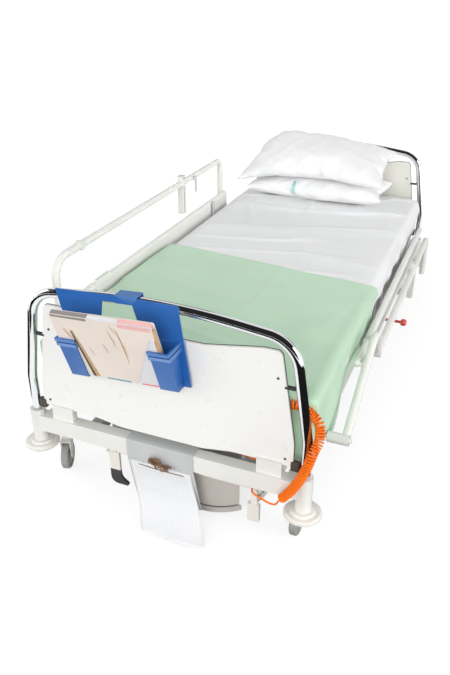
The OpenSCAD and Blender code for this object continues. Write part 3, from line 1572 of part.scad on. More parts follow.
base_frame();
base_cover_foot();
base_cover_head();
column_outer();
column_mid();
column_inner();
pedal_shaft();
pedal_pad();
castor_fork(0);  // castor_fork_foot_left
castor_fork(1);  // castor_fork_foot_right
castor_fork(2);  // castor_fork_head_left
castor_fork(3);  // castor_fork_head_right
castor_wheel(0);  // castor_wheel_foot_left
castor_wheel(1);  // castor_wheel_foot_right
castor_wheel(2);  // castor_wheel_head_left
castor_wheel(3);  // castor_wheel_head_right
side_frame();
crossbar_foot();
crossbar_head();
bumper_roller(0);  // bumper_roller_foot_left
bumper_roller(1);  // bumper_roller_foot_right
bumper_roller(2);  // bumper_roller_head_left
bumper_roller(3);  // bumper_roller_head_right
foot_hoop();
foot_panel();
foot_panel_fixings();
head_hoop();
head_panel();
head_panel_fixings();
seat_deck();
back_deck();
back_actuator();
back_actuator_rod();
mattress_seat();
mattress_bend();
mattress_back();
sheet_seat();
sheet_back();
blanket();
pillow_lower();
pillow_upper();
rail_arm(-1);  // rail_arm_left
rail_arm(1);  // rail_arm_right
top_rail(-1);  // top_rail_left
top_rail(1);  // top_rail_right
release_lever(-1);  // release_lever_left
release_lever(1);  // release_lever_right
lower_rail(-1);  // lower_rail_left
lower_rail(1);  // lower_rail_right
rear_link(-1);  // rear_link_left
rear_link(1);  // rear_link_right
cpr_knob(-1);  // cpr_knob_left
cpr_knob(1);  // cpr_knob_right
control_box();
curly_cord();
chart_holder();
folders();
chart_board();
spring_clip();
papers();
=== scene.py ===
import json
import math

import bmesh
import bpy
import numpy as np
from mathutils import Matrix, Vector
from mathutils.bvhtree import BVHTree


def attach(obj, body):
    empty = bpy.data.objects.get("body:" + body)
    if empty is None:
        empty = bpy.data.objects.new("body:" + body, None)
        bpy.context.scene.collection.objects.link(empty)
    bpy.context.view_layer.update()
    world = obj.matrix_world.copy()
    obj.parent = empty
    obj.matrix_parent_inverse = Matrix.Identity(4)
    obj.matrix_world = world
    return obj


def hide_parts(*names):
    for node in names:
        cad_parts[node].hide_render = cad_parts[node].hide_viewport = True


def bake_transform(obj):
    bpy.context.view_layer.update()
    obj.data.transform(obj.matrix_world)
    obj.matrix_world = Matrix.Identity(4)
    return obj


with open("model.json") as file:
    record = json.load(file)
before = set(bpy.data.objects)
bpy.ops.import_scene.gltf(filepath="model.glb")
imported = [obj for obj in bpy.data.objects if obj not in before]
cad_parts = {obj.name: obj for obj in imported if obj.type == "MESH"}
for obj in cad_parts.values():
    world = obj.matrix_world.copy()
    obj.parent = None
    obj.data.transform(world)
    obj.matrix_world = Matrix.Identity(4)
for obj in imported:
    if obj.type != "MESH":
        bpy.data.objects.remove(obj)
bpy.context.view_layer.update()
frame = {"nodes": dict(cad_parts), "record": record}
NODES = frame["nodes"]
TAU = 2 * math.pi


# Camera at the photograph's place
cam_data = bpy.data.cameras.new("camera")
SENSOR, PHOTO_H, FOCAL_PX = 36.0, 675, 684.8
cam_data.sensor_width = SENSOR
cam_data.lens = FOCAL_PX / PHOTO_H * SENSOR
cam_data.clip_start, cam_data.clip_end = 0.05, 300
camera = bpy.data.objects.new("camera", cam_data)
bpy.context.collection.objects.link(camera)
camera.location = (0.8338, -2.5595, 1.5878)
camera.rotation_euler = (math.radians(90 - 28.79), 0, math.radians(22.37))
bpy.context.scene.camera = camera
bpy.context.scene.view_settings.view_transform = "Standard"


# Mesh helpers
def link(name, verts, faces, smooth=True):
    mesh = bpy.data.meshes.new(name)
    mesh.from_pydata([tuple(map(float, v)) for v in verts], [], [tuple(f) for f in faces])
    mesh.update()
    if smooth:
        mesh.shade_smooth()
    obj = bpy.data.objects.new(name, mesh)
    bpy.context.collection.objects.link(obj)
    return obj


def place(obj, body, slot_name, *nodes):
    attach(obj, body)
    if nodes:
        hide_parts(*nodes)
    return obj


def frames_along(points, hint=(0.0, 1.0, 0.0)):
    """Direction and an untwisted side vector at each point of a line."""
    p = np.asarray(points, float)
    ways = np.gradient(p, axis=0)
    ways /= np.linalg.norm(ways, axis=1)[:, None]
    side = np.cross(ways[0], hint)
    if np.linalg.norm(side) < 1e-6:
        side = np.cross(ways[0], (1.0, 0.3, 0.2))
    side /= np.linalg.norm(side)
    sides = []
    for w in ways:
        side = side - w * (side @ w)
        side /= np.linalg.norm(side)
        sides.append(side)
    return ways, np.array(sides)


def tube_mesh(points, radius, around=24, hint=(0.0, 1.0, 0.0)):
    """Vertices and faces of a round tube along points; radius may be one value or one a point."""
    p = np.asarray(points, float)
    r = np.broadcast_to(np.asarray(radius, float), (len(p),))
    ways, sides = frames_along(p, hint)
    ups = np.cross(ways, sides)
    a = np.arange(around) * TAU / around
    ring = (np.cos(a)[None, :, None] * sides[:, None, :] + np.sin(a)[None, :, None] * ups[:, None, :])
    verts = (p[:, None, :] + r[:, None, None] * ring).reshape(-1, 3)
    faces = []
    for i in range(len(p) - 1):
        for k in range(around):
            k2 = (k + 1) % around
            faces.append((i * around + k, (i + 1) * around + k, (i + 1) * around + k2, i * around + k2))
    faces.append(tuple(range(around)))
    faces.append(tuple(range((len(p) - 1) * around, len(p) * around))[::-1])
    return verts, faces


def joined(parts):
    """One vertex and face list from several."""
    verts, faces = [], []
    for v, f in parts:
        n = len(verts)
        verts.extend([tuple(x) for x in v])
        faces.extend([tuple(i + n for i in face) for face in f])
    return verts, faces


def box_mesh(lo, hi):
    (x0, y0, z0), (x1, y1, z1) = lo, hi
    v = [(x, y, z) for z in (z0, z1) for x, y in ((x0, y0), (x1, y0), (x1, y1), (x0, y1))]
    f = [(3, 2, 1, 0), (4, 5, 6, 7), (0, 1, 5, 4), (1, 2, 6, 5), (2, 3, 7, 6), (3, 0, 4, 7)]
    return v, f


def grid_faces(rows, cols, flip=False):
    out = []
    for i in range(rows - 1):
        for j in range(cols - 1):
            a = i * cols + j
            f = (a, a + cols, a + cols + 1, a + 1)
            out.append(f[::-1] if flip else f)
    return out


def bevel(obj, width, weld=True):
    if weld:
        obj.modifiers.new("weld", "WELD").merge_threshold = 1e-5
    b = obj.modifiers.new("bevel", "BEVEL")
    b.width = width
    b.segments = 3
    b.limit_method = "ANGLE"
    b.angle_limit = math.radians(35)
    b.use_clamp_overlap = True
    obj.modifiers.new("normals", "WEIGHTED_NORMAL").keep_sharp = True


def solidify(obj, thickness):
    s = obj.modifiers.new("thick", "SOLIDIFY")
    s.thickness = thickness
    s.offset = 0


def subdivide(obj):
    s = obj.modifiers.new("smooth", "SUBSURF")
    s.levels = s.render_levels = 1


# Smooth noise on two numbers, the same each run
_tables = {}


def noise(x, y, seed):
    if seed not in _tables:
        _tables[seed] = np.random.RandomState(seed + 11).rand(64, 64) * 2 - 1
    t = _tables[seed]
    x, y = np.broadcast_arrays(np.asarray(x, float), np.asarray(y, float))
    xi, yi = np.floor(x).astype(int), np.floor(y).astype(int)
    fx, fy = x - xi, y - yi
    fx, fy = fx * fx * (3 - 2 * fx), fy * fy * (3 - 2 * fy)
    a, b = t[xi % 64, yi % 64], t[(xi + 1) % 64, yi % 64]
    c, d = t[xi % 64, (yi + 1) % 64], t[(xi + 1) % 64, (yi + 1) % 64]
    return (a * (1 - fx) + b * fx) * (1 - fy) + (c * (1 - fx) + d * fx) * fy


def ridges(x, y, seed):
    """Long narrow crests, from 0 to 1."""
    return np.clip(1 - np.abs(noise(x, y, seed)) * 2.4, 0, 1) ** 2


def smooth01(t):
    t = np.clip(t, 0, 1)
    return t * t * (3 - 2 * t)


# Materials
M = {}
DIRT, BUMP_DEPTH, WEAVE_DEPTH = (0.45, 0.42, 0.38), 0.0004, 0.0003


def fresh_tree(owner):
    """Emptied node tree of a material or world."""
    owner.use_nodes = True
    owner.node_tree.nodes.clear()
    return owner.node_tree


def node(tree, kind, values=(), **settings):
    """New shader node with its other settings and the values of its inputs."""
    n = tree.nodes.new("ShaderNode" + kind)
    for key, value in settings.items():
        setattr(n, key, value)
    for key, value in dict(values).items():
        n.inputs[key].default_value = value
    return n


def material(name, color, rough, metal=0.0, spec=0.5, coat=0.0, sheen=0.0, vary=0.04, vary_scale=6.0,
             rough_vary=0.08, bump=0.15, bump_scale=90.0, weave=0.0, weave_pitch=0.0011, folds=0.0,
             folds_scale=(5.0, 5.0, 5.0), folds_dist=0.006, wear=0.0, wear_color=(0.5, 0.5, 0.5), dirt=0.0):
    m = bpy.data.materials.new(name)
    nt = fresh_tree(m)
    join = nt.links.new
    bsdf = node(nt, "BsdfPrincipled", {"Metallic": metal, "Specular IOR Level": spec, "Coat Weight": coat,
                                       "Coat Roughness": 0.12, "Sheen Weight": sheen, "Sheen Roughness": 0.5})
    join(bsdf.outputs["BSDF"], node(nt, "OutputMaterial").inputs["Surface"])
    coords = node(nt, "TexCoord").outputs["Object"]

    def noise_node(scale, detail, vector=None, distortion=0.0):
        n = node(nt, "TexNoise", {"Scale": scale, "Detail": detail, "Distortion": distortion})
        join(vector or coords, n.inputs["Vector"])
        return n.outputs["Fac"]

    def ranged(value, a, b, lo=0.3, hi=0.7):
        n = node(nt, "MapRange", {"From Min": lo, "From Max": hi, "To Min": a, "To Max": b})
        join(value, n.inputs["Value"])
        return n.outputs["Result"]

    def mixed(fac, a, b):
        n = node(nt, "Mix", data_type="RGBA")
        join(fac, n.inputs["Factor"])
        for socket, value in ((n.inputs[6], a), (n.inputs[7], b)):
            if isinstance(value, bpy.types.NodeSocket):
                join(value, socket)
            else:
                socket.default_value = (*value, 1)
        return n.outputs[2]

    low = tuple(max(0, c * (1 - vary)) for c in color)
    high = tuple(min(1, c * (1 + vary)) for c in color)
    base = mixed(ranged(noise_node(vary_scale, 5), 0, 1), low, high)
    if dirt:
        base = mixed(ranged(noise_node(vary_scale * 2.3, 7, distortion=0.6), 0, dirt, 0.55, 0.75), base, DIRT)
    if wear:
        edge = ranged(node(nt, "NewGeometry").outputs["Pointiness"], 0, wear, 0.52, 0.58)
        base = mixed(edge, base, wear_color)
    join(base, bsdf.inputs["Base Color"])
    join(ranged(noise_node(vary_scale * 4, 4), max(0.02, rough - rough_vary), min(1, rough + rough_vary)),
         bsdf.inputs["Roughness"])
    height = None

    def add_bump(value, strength, distance):
        nonlocal height
        b = node(nt, "Bump", {"Strength": strength, "Distance": distance})
        join(value, b.inputs["Height"])
        if height is not None:
            join(height, b.inputs["Normal"])
        height = b.outputs["Normal"]

    if folds:
        mapping = node(nt, "Mapping", {"Scale": folds_scale})
        join(coords, mapping.inputs["Vector"])
        add_bump(noise_node(1.0, 4, mapping.outputs["Vector"], 0.8), folds, folds_dist)
    if weave:
        mul = node(nt, "Math", operation="MULTIPLY")
        for i, axis in enumerate("XY"):
            w = node(nt, "TexWave", {"Scale": 1 / weave_pitch / 3.1}, bands_direction=axis)
            join(coords, w.inputs["Vector"])
            join(w.outputs["Fac"], mul.inputs[i])
        add_bump(mul.outputs[0], weave, WEAVE_DEPTH)
    if bump:
        add_bump(noise_node(bump_scale, 4), bump, BUMP_DEPTH)
    if height is not None:
        join(height, bsdf.inputs["Normal"])
    M[name] = m


material("white_paint", (0.82, 0.815, 0.78), 0.42, spec=0.4, coat=0.08, vary=0.015, bump=0.08, bump_scale=220,
         dirt=0.05, wear=0.25, wear_color=(0.6, 0.59, 0.56))
material("greige_plastic", (0.62, 0.57, 0.53), 0.5, vary=0.02, bump=0.12, bump_scale=320)
material("bare_steel", (0.55, 0.56, 0.58), 0.34, metal=1.0, vary=0.05, bump=0.1, bump_scale=160)
material("pedal_plastic", (0.84, 0.81, 0.74), 0.45, vary=0.02, wear=0.2)
material("dark_rubber", (0.055, 0.056, 0.06), 0.75, vary=0.15, bump=0.3, bump_scale=260, spec=0.3)
material("dark_plastic", (0.06, 0.06, 0.065), 0.5, vary=0.1, bump=0.12, bump_scale=300)
material("wheel_grey", (0.34, 0.335, 0.32), 0.5, vary=0.05, bump=0.12, bump_scale=200, dirt=0.25)
material("castor_plastic", (0.7, 0.7, 0.68), 0.45, vary=0.04, bump=0.12, bump_scale=200, dirt=0.25)
material("roller_plastic", (0.8, 0.78, 0.73), 0.42, vary=0.02, bump=0.08, bump_scale=200, dirt=0.06)
material("chrome_tube", (0.82, 0.83, 0.85), 0.09, metal=1.0, vary=0.02, rough_vary=0.03, bump=0.02, bump_scale=60)
material("white_laminate", (0.885, 0.88, 0.85), 0.34, coat=0.15, vary=0.004, bump=0.015, bump_scale=500)
material("cream_laminate", (0.86, 0.85, 0.78), 0.34, coat=0.15, vary=0.004, bump=0.015, bump_scale=500)
material("fixing_plastic", (0.82, 0.81, 0.76), 0.4, vary=0.03)
material("mattress_cover", (0.8, 0.81, 0.83), 0.7, vary=0.02, weave=0.5, folds=0.3, sheen=0.2)
material("white_sheet", (0.875, 0.88, 0.885), 0.85, vary=0.012, weave=0.35, folds=0.4, sheen=0.25,
         folds_scale=(3.0, 9.0, 6.0), folds_dist=0.004)
material("pillowcase", (0.89, 0.89, 0.895), 0.85, vary=0.01, weave=0.35, folds=0.5, sheen=0.25,
         folds_scale=(6.0, 9.0, 6.0), folds_dist=0.005)
material("mint_blanket", (0.52, 0.75, 0.54), 0.9, vary=0.03, weave=0.9, weave_pitch=0.0024, folds=0.35, sheen=0.45,
         folds_scale=(4.0, 7.0, 5.0), folds_dist=0.004)
material("grey_metal", (0.55, 0.56, 0.56), 0.42, metal=0.08, vary=0.05, bump=0.08, wear=0.35,
         wear_color=(0.75, 0.76, 0.77))
material("red_knob", (0.62, 0.09, 0.07), 0.35, coat=0.3, vary=0.05)
material("box_plastic", (0.42, 0.43, 0.42), 0.5, vary=0.04, bump=0.15, bump_scale=300)
material("orange_cord", (0.93, 0.19, 0.012), 0.5, vary=0.04, bump=0.05, spec=0.2)
material("blue_plastic", (0.022, 0.125, 0.42), 0.36, coat=0.12, vary=0.1, vary_scale=9.0, spec=0.4, bump=0.03,
         bump_scale=240, wear=0.5, wear_color=(0.3, 0.5, 0.8))
material("buff_card", (0.87, 0.78, 0.7), 0.75, vary=0.04, bump=0.2, bump_scale=500)
material("white_paper", (0.79, 0.795, 0.81), 0.85, spec=0.2, vary=0.01, bump=0.1, bump_scale=600)
material("copper_wire", (0.3, 0.15, 0.075), 0.4, metal=0.45, vary=0.35, vary_scale=60)
material("tab_grey", (0.3, 0.28, 0.265), 0.7, vary=0.05)
material("tab_red", (0.85, 0.2, 0.23), 0.65, vary=0.06)
material("line_ink", (0.66, 0.67, 0.69), 0.85, vary=0.05, spec=0.1)
# Painted shade in the front folder's creases
material("crease", (0.62, 0.38, 0.17), 0.8, vary=0.2, vary_scale=40)
material("stripe_green", (0.42, 0.74, 0.66), 0.8, vary=0.05, weave=0.3)
material("line_blue", (0.08, 0.3, 0.42), 0.7, vary=0.1)
# Dark brown of the corner brackets; also painted shade in the cover's groove and right of the folders' left cup
material("dark_brown_and_painted_shade", (0.075, 0.066, 0.052), 0.55, vary=0.12, vary_scale=30)
# Dark grey of the straps and screw heads; also painted shade in the gap behind each panel's rim
material("dark_fixings_and_rim_shade", (0.06, 0.065, 0.06), 0.5, vary=0.08)
# Brownish page edges; also painted shadow right of the folders' left cup
material("page_edge_and_painted_shade", (0.62, 0.4, 0.22), 0.8, vary=0.3, vary_scale=300)
material("tab_pink", (0.88, 0.52, 0.5), 0.7, vary=0.05)


def dress(obj, look):
    obj.data.materials.clear()
    obj.data.materials.append(M[look])


def piece(name, mesh, look, body, slot_name, *nodes, thick=0):
    """Mesh with its look, thickness, body and the CAD nodes that it replaces."""
    obj = link(name, *mesh)
    if thick:
        solidify(obj, thick)
    dress(obj, look)
    return place(obj, body, slot_name, *nodes)


# Every carried-over CAD node takes the material of its slot; the castors' wheels are darker than their forks
for row in frame["record"]["subparts"]:
    dress(NODES[row["node"]], "wheel_grey" if "wheel" in row["node"] else row["material_slot"])


# Curly cord, in millimetres. The leads follow the CAD route; the curled stretch lies up to 15 mm off it,
# and its curls are narrower and its wire thinner than the CAD cord's.
LEAD_IN = [[300, -1003, 214], [300, -1003, 206], [302, -1020, 199], [304, -1045, 199], [308, -1070, 200],
           [318, -1084, 202], [340, -1086, 193], [368, -1090, 187], [390, -1096, 194]]
CURLS = [[406, -1102, 222], [434, -1102, 261], [459, -1101, 309], [477, -1098, 358], [488, -1086, 400],
         [497, -1057, 432], [485, -1023, 459], [454, -1015, 483], [424, -1017, 500], [394, -1019, 498],
         [369, -1020, 472]]
LEAD_OUT = [[360, -1020, 440], [350, -1020, 380], [336, -1019, 310], [318, -1016, 276], [290, -1012, 270],
            [262, -1007, 276], [256, -1006, 272], [256, -1006, 266]]
CURL_COUNT, CURL_OD, CORD_D = 54, 0.030, 0.0058


def spline(points, steps):
    p = np.asarray(points, float)
    out = []
    for i in range(len(p) - 1):
        a, b, c, d = p[max(0, i - 1)], p[i], p[i + 1], p[min(len(p) - 1, i + 2)]
        for k in range(steps):
            t = k / steps
            out.append((2 * b + (c - a) * t + (2 * a - 5 * b + 4 * c - d) * t * t
                        + (3 * b - a - 3 * c + d) * t ** 3) / 2)
    out.append(p[-1])
    return np.array(out)


def bends(fine, reach):
    """How sharply a line bends at each point, in radians a metre."""
    out = np.zeros(len(fine))
    for i in range(reach, len(fine) - reach):
        u, v = fine[i] - fine[i - reach], fine[i + reach] - fine[i]
        nu, nv = np.linalg.norm(u), np.linalg.norm(v)
        out[i] = math.acos(np.clip(u @ v / (nu * nv), -1, 1)) / ((nu + nv) / 2)
    return out


LEAD_STEPS = 70


def cord_line(rings=24):
    """Curls stand wider apart where the route bends, to clear each other on the inner side."""
    route = np.array(LEAD_IN + CURLS + LEAD_OUT) / 1000
    steps = 24
    fine = spline(route, steps)
    ds = np.linalg.norm(np.diff(fine, axis=0), axis=1)
    run = np.concatenate([[0], np.cumsum(ds)])
    curl_r = (CURL_OD - CORD_D) / 2
    spread = 1 / (1 - curl_r * bends(fine, 8))
    pace = np.concatenate([[0], np.cumsum(ds * 2 / (spread[1:] + spread[:-1]))])
    i0, i1 = len(LEAD_IN) * steps, (len(LEAD_IN) + len(CURLS) - 1) * steps
    n = CURL_COUNT * rings
    curls = np.interp(np.linspace(pace[i0], pace[i1], n + 1), pace, run)
    s = np.concatenate([np.linspace(0, run[i0], LEAD_STEPS)[:-1], curls,
                        np.linspace(run[i1], run[-1], LEAD_STEPS)[1:]])
    k = np.clip(np.arange(len(s)) - (LEAD_STEPS - 1), 0, n)
    axis = np.stack([np.interp(s, run, fine[:, i]) for i in range(3)], 1)
    ways, sides = frames_along(axis)
    r = curl_r * smooth01(k / rings) * smooth01((n - k) / rings)
    a = TAU * k / rings
    return axis + r[:, None] * (np.cos(a)[:, None] * sides + np.sin(a)[:, None] * np.cross(ways, sides))


cord_points = cord_line()
curve = bpy.data.curves.new("curly_cord_lead", "CURVE")
curve.dimensions = "3D"
curve.bevel_depth = CORD_D / 2
curve.bevel_resolution = 3
curve.use_fill_caps = True
line = curve.splines.new("POLY")
line.points.add(len(cord_points) - 1)
line.points.foreach_set("co", np.hstack([cord_points, np.ones((len(cord_points), 1))]).ravel())
line.use_smooth = True
cord = bpy.data.objects.new("curly_cord_lead", curve)
bpy.context.collection.objects.link(cord)
cord.data.materials.append(M["orange_cord"])
place(cord, "upper", "orange_cord", "curly_cord")


# Chromed hoops
def fillet(points, radii, steps):
    out = []
    n = len(points)
    for i, (b, r) in enumerate(zip(points, radii)):
        b = np.array(b, float)
        if not r:
            out.append(b)
            continue
        a, c = np.array(points[i - 1], float), np.array(points[(i + 1) % n], float)
        u, v = (a - b) / np.linalg.norm(a - b), (c - b) / np.linalg.norm(c - b)
        half = math.acos(np.clip(u @ v, -1, 1)) / 2
        start = b + u * r / math.tan(half)
        middle = b + (u + v) / np.linalg.norm(u + v) * r / math.sin(half)
        swing = math.pi - 2 * half
        x = (start - middle) / r
        y = -u
        out += [middle + r * (math.cos(t) * x + math.sin(t) * y) for t in np.linspace(0, swing, steps + 1)]
    return np.array(out)


END_Y = 1.05  # middle plane of each end's hoop and panel
POST_X, NECK_Z = 0.4625, 0.413  # the hoop's legs lean in above the neck
SHOULDER_X, SHOULDER_Z = 0.413, 0.718
HOOP = [(-POST_X, 0.2303), (-POST_X, NECK_Z), (-SHOULDER_X, SHOULDER_Z), (0, 0.768), (SHOULDER_X, SHOULDER_Z),
        (POST_X, NECK_Z), (POST_X, 0.2303)]
HOOP_BENDS, HOOP_R = [0, 0.15, 0.1, 2.2, 0.1, 0.15, 0], 0.015


def distinct(line, least):
    """The points of a line without those that fall on the one before."""
    return line[[0] + [i for i in range(1, len(line)) if np.linalg.norm(line[i] - line[i - 1]) > least]]


def hoop(name, y, body, node):
    flat = fillet(HOOP, HOOP_BENDS, 22)
    line = distinct(np.stack([flat[:, 0], np.full(len(flat), y), flat[:, 1]], 1), 1e-6)
    dense = []
    for a, b in zip(line[:-1], line[1:]):
        n = max(1, int(np.linalg.norm(b - a) / 0.02))
        dense += [a + (b - a) * t / n for t in range(n)]
    dense.append(line[-1])
    piece(name, tube_mesh(dense, HOOP_R, 40), "chrome_tube", body, "chrome_tube", node)


hoop("foot_hoop_tube", -END_Y, "foot_board", "foot_hoop")
hoop("head_hoop_tube", END_Y, "head_board", "head_hoop")


# Bedding
HALF, TOP, EDGE = 0.445, 0.502, 0.014
BED_END, ROUND, MATTRESS_LOW = 0.99, 0.02, 0.3755
SHEET_OUT, BLANKET_OUT = 0.0028, 0.0084


def over_mattress(across, y, out):
    """Place of a cloth point: across runs over the top and down the sides, out is its height off the mattress."""
    side = np.sign(across)
    over = np.abs(across) - (HALF - EDGE)
    arc = EDGE * math.pi / 2
    a = np.clip(over / arc, 0, 1) * math.pi / 2
    down = np.clip(over - arc, 0, None)
    x = np.where(over < 0, across, side * (HALF - EDGE + (EDGE + out) * np.sin(a)))
    z = np.where(over < 0, TOP + out, TOP - EDGE + (EDGE + out) * np.cos(a) - down)
    return np.stack([x, y + 0 * x, z], -1)


def mattress():
    right, high, low = HALF - ROUND, TOP - ROUND, MATTRESS_LOW + ROUND
    profile = []
    for cx, cz, a0 in ((right, high, 0), (-right, high, 90), (-right, low, 180), (right, low, 270)):
        for a in np.radians(np.linspace(a0, a0 + 90, 6)):
            profile.append((cx + ROUND * math.cos(a), cz + ROUND * math.sin(a)))
    ring = []
    for i, (x, z) in enumerate(profile):
        ring.append((x, z))
        nx, nz = profile[(i + 1) % len(profile)]
        gap = math.hypot(nx - x, nz - z)
        n = int(gap / 0.05)
        ring += [(x + (nx - x) * t / (n + 1), z + (nz - z) * t / (n + 1)) for t in range(1, n + 1)]
    ring = np.array(ring)
    mid = np.array([0, (TOP + MATTRESS_LOW) / 2])
    straight = BED_END - ROUND
    taper = BED_END - ROUND * (1 - np.cos(np.linspace(0, math.pi / 2, 5)))[:-1]
    ys = np.concatenate([-taper, np.linspace(-straight, straight, 90), taper[::-1]])
    verts = []
    for y in ys:
        e = max(0, abs(y) - straight) / ROUND
        inset = ROUND * (1 - math.sqrt(max(0, 1 - e * e)))
        w = np.clip(1 - inset / np.maximum(np.abs(ring - mid), 1e-6), 0, 1)
        q = mid + (ring - mid) * w
        verts += [(x, y, z) for x, z in q]
    n = len(ring)
    faces = []
    for i in range(len(ys) - 1):
        for k in range(n):
            k2 = (k + 1) % n
            faces.append((i * n + k, i * n + k2, (i + 1) * n + k2, (i + 1) * n + k))
    faces.append(tuple(range(n))[::-1])
    faces.append(tuple(range((len(ys) - 1) * n, len(ys) * n)))
    obj = link("mattress", verts, faces)
    dress(obj, "mattress_cover")
    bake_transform(obj)
    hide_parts("mattress_seat", "mattress_bend", "mattress_back")


mattress()


def bottom_sheet():
    rows, cols = 230, 150
    y = np.linspace(-0.988, 0.988, rows)[:, None]
    u = np.linspace(-1, 1, cols)[None, :]
    drop_l = 0.112 + 0.012 * noise(y * 4, 0.5, 3)
    drop_r = 0.118 + 0.030 * smooth01((y - 0.35) / 0.25) * smooth01((0.95 - y) / 0.25) + 0.010 * noise(y * 5, 2.5, 4)
    reach = np.where(u < 0, HALF + drop_l, HALF + drop_r)
    across = u * reach
    over = np.clip((np.abs(across) - HALF) / 0.1, 0, 1)
    on_top = 1 - smooth01((np.abs(across) - HALF + 0.05) / 0.05)
    bare = smooth01((y + 0.2) / 0.1)
    long_folds = ridges(across * 1.6 + y * 1.2 + 3, y * 9 - across * 2.2, 7) * 0.0095
    cross_folds = ridges(across * 5.2 + y * 2, y * 3.1 + across * 1.4 + 7, 8) * 0.005
    fine = noise(across * 22, y * 26, 9) * 0.0006
    pull = ridges(across * 9 - 2, y * 2.4 + across * 3, 10) * 0.0068 * smooth01((y - 0.42) / 0.2)
    lift = (long_folds + cross_folds + pull + fine + 0.0006) * on_top * bare
    swing = (0.5 + 0.5 * np.sin(y * 31 + 1.7 * noise(y * 3, 1, 5))) * over
    out = SHEET_OUT + 0.0006 + lift + 0.007 * swing * over
    link_room = smooth01((np.abs(y - 0.345) - 0.125) / 0.05)
    out = out + 0.014 * np.exp(-((np.abs(across) - HALF - 0.04) / 0.03) ** 2) * (u > 0) * bare * link_room
    p = over_mattress(across, y, out)
    obj = link("bottom_sheet", p.reshape(-1, 3), grid_faces(rows, cols))
    solidify(obj, 0.0012)
    dress(obj, "white_sheet")
    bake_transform(obj)
    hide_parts("sheet_seat", "sheet_back")


bottom_sheet()

# What hangs over the right side, by the distance from the mattress's foot end
RIGHT_HEM = np.array([(0, 0.185), (0.1, 0.225), (0.2, 0.275), (0.29, 0.30), (0.34, 0.262), (0.40, 0.205),
                      (0.48, 0.19), (0.62, 0.205), (0.72, 0.175), (0.81, 0.165), (0.83, 0.155)])
SIDE_ROOM, BOARD_ROOM = 0.4605, 0.4705  # the raised rail's board passes just outside the second
FOOT_HANG = 0.215


def blanket():
    cols = 180
    u = np.linspace(-1, 1, cols)[None, :]
    rows_foot, rows_top = 44, 150
    share = smooth01((u + 0.75) / 1.6)
    end = BED_END + (-0.067 * (1 - share) - 0.164 * share) + 0.006 * noise(u * 5, 1.5, 21)
    v = np.concatenate([np.linspace(-1, 0, rows_foot)[:-1], np.linspace(0, 1, rows_top)])[:, None]
    along = np.where(v < 0, v * (FOOT_HANG + 0.006 * noise(u * 6, 3.3, 28)), v * end)
    drop_l = 0.165 + 0.008 * noise(along * 5, 0.5, 22) - 0.010 * smooth01((along - 0.55) / 0.3)
    drop_r = np.interp(along, RIGHT_HEM[:, 0], RIGHT_HEM[:, 1]) + 0.004 * noise(along * 9, 2.5, 29)
    across = u * (HALF + np.where(u < 0, drop_l, drop_r))
    over = np.clip(np.abs(across) - HALF, 0, None)
    down = np.clip(-along, 0, None)
    reach = (over ** 4 + down ** 4) ** 0.25
    part = np.arctan2(down, over + 1e-9)
    side = np.sign(across)
    hang = np.clip(over / 0.14, 0, 1)
    waves = (0.5 + 0.5 * np.sin(along * 23 + 1.5 * noise(along * 3, 2, 23))) * hang ** 1.3
    wrinkle = (ridges(across * 1.3 + 4, along * 6.5 + across, 24) * 0.0046
               + ridges(across * 6 + 1, along * 1.7 - across, 25) * 0.0034
               + noise(across * 16, along * 18, 26) * 0.0006)
    on_top = 1 - smooth01((np.abs(across) - HALF + 0.05) / 0.05)
    puff = 0.004 * np.exp(-((np.abs(across) - HALF) / 0.02) ** 2) * (1 + noise(along * 11, u * 2, 27))
    out = BLANKET_OUT + wrinkle * on_top + puff
    soft = np.minimum(over, EDGE) / EDGE
    x = side * (np.minimum(np.abs(across), HALF) + np.where(over > 0, (out * soft + 0.011 * waves) * np.cos(part), 0))
    bulge = (0.024 * np.exp(-((over - 0.034) / 0.030) ** 2) * (u > 0) * smooth01(over / 0.012)
             * (0.75 + 0.5 * noise(along * 4, 0.7, 31)))
    far = np.minimum(np.abs(x), SIDE_ROOM) + bulge * np.cos(part)
    far = BOARD_ROOM - 0.002 * np.log1p(np.exp((BOARD_ROOM - far) / 0.002))
    x = np.where(over > 0, side * far, x)
    drape = (0.5 + 0.5 * np.sin(across * 26 + 2.2 * noise(across * 3.1, 1.7, 30))) ** 1.5
    fold = out * np.minimum(down, EDGE) / EDGE + 0.016 * drape * np.clip(down / 0.16, 0, 1) ** 1.2
    y = -BED_END + np.clip(along, 0, None) - np.where(down > 0, fold * np.sin(part), 0)
    turn = 0.02
    round_off = np.where(reach > 0, np.minimum(reach, turn) ** 2 / (2 * turn), 0)
    z = TOP + out - np.where(reach < turn, round_off, reach - turn / 2)
    p = np.stack([x + 0 * z, y + 0 * z, z], -1)
    obj = piece("mint_blanket", (p.reshape(-1, 3), grid_faces(len(v), cols)), "mint_blanket", "upper", "mint_blanket",
                "blanket", thick=0.0034)
    # Sewn hem along the three hanging edges and the turned top edge
    parts = [tube_mesh(e[::2], 0.0026, 8, hint=(0.3, 0.2, 1)) for e in (p[0], p[:, 0], p[:, -1], p[-1])]
    piece("blanket_hem", joined(parts), "mint_blanket", "upper", "mint_blanket")


blanket()


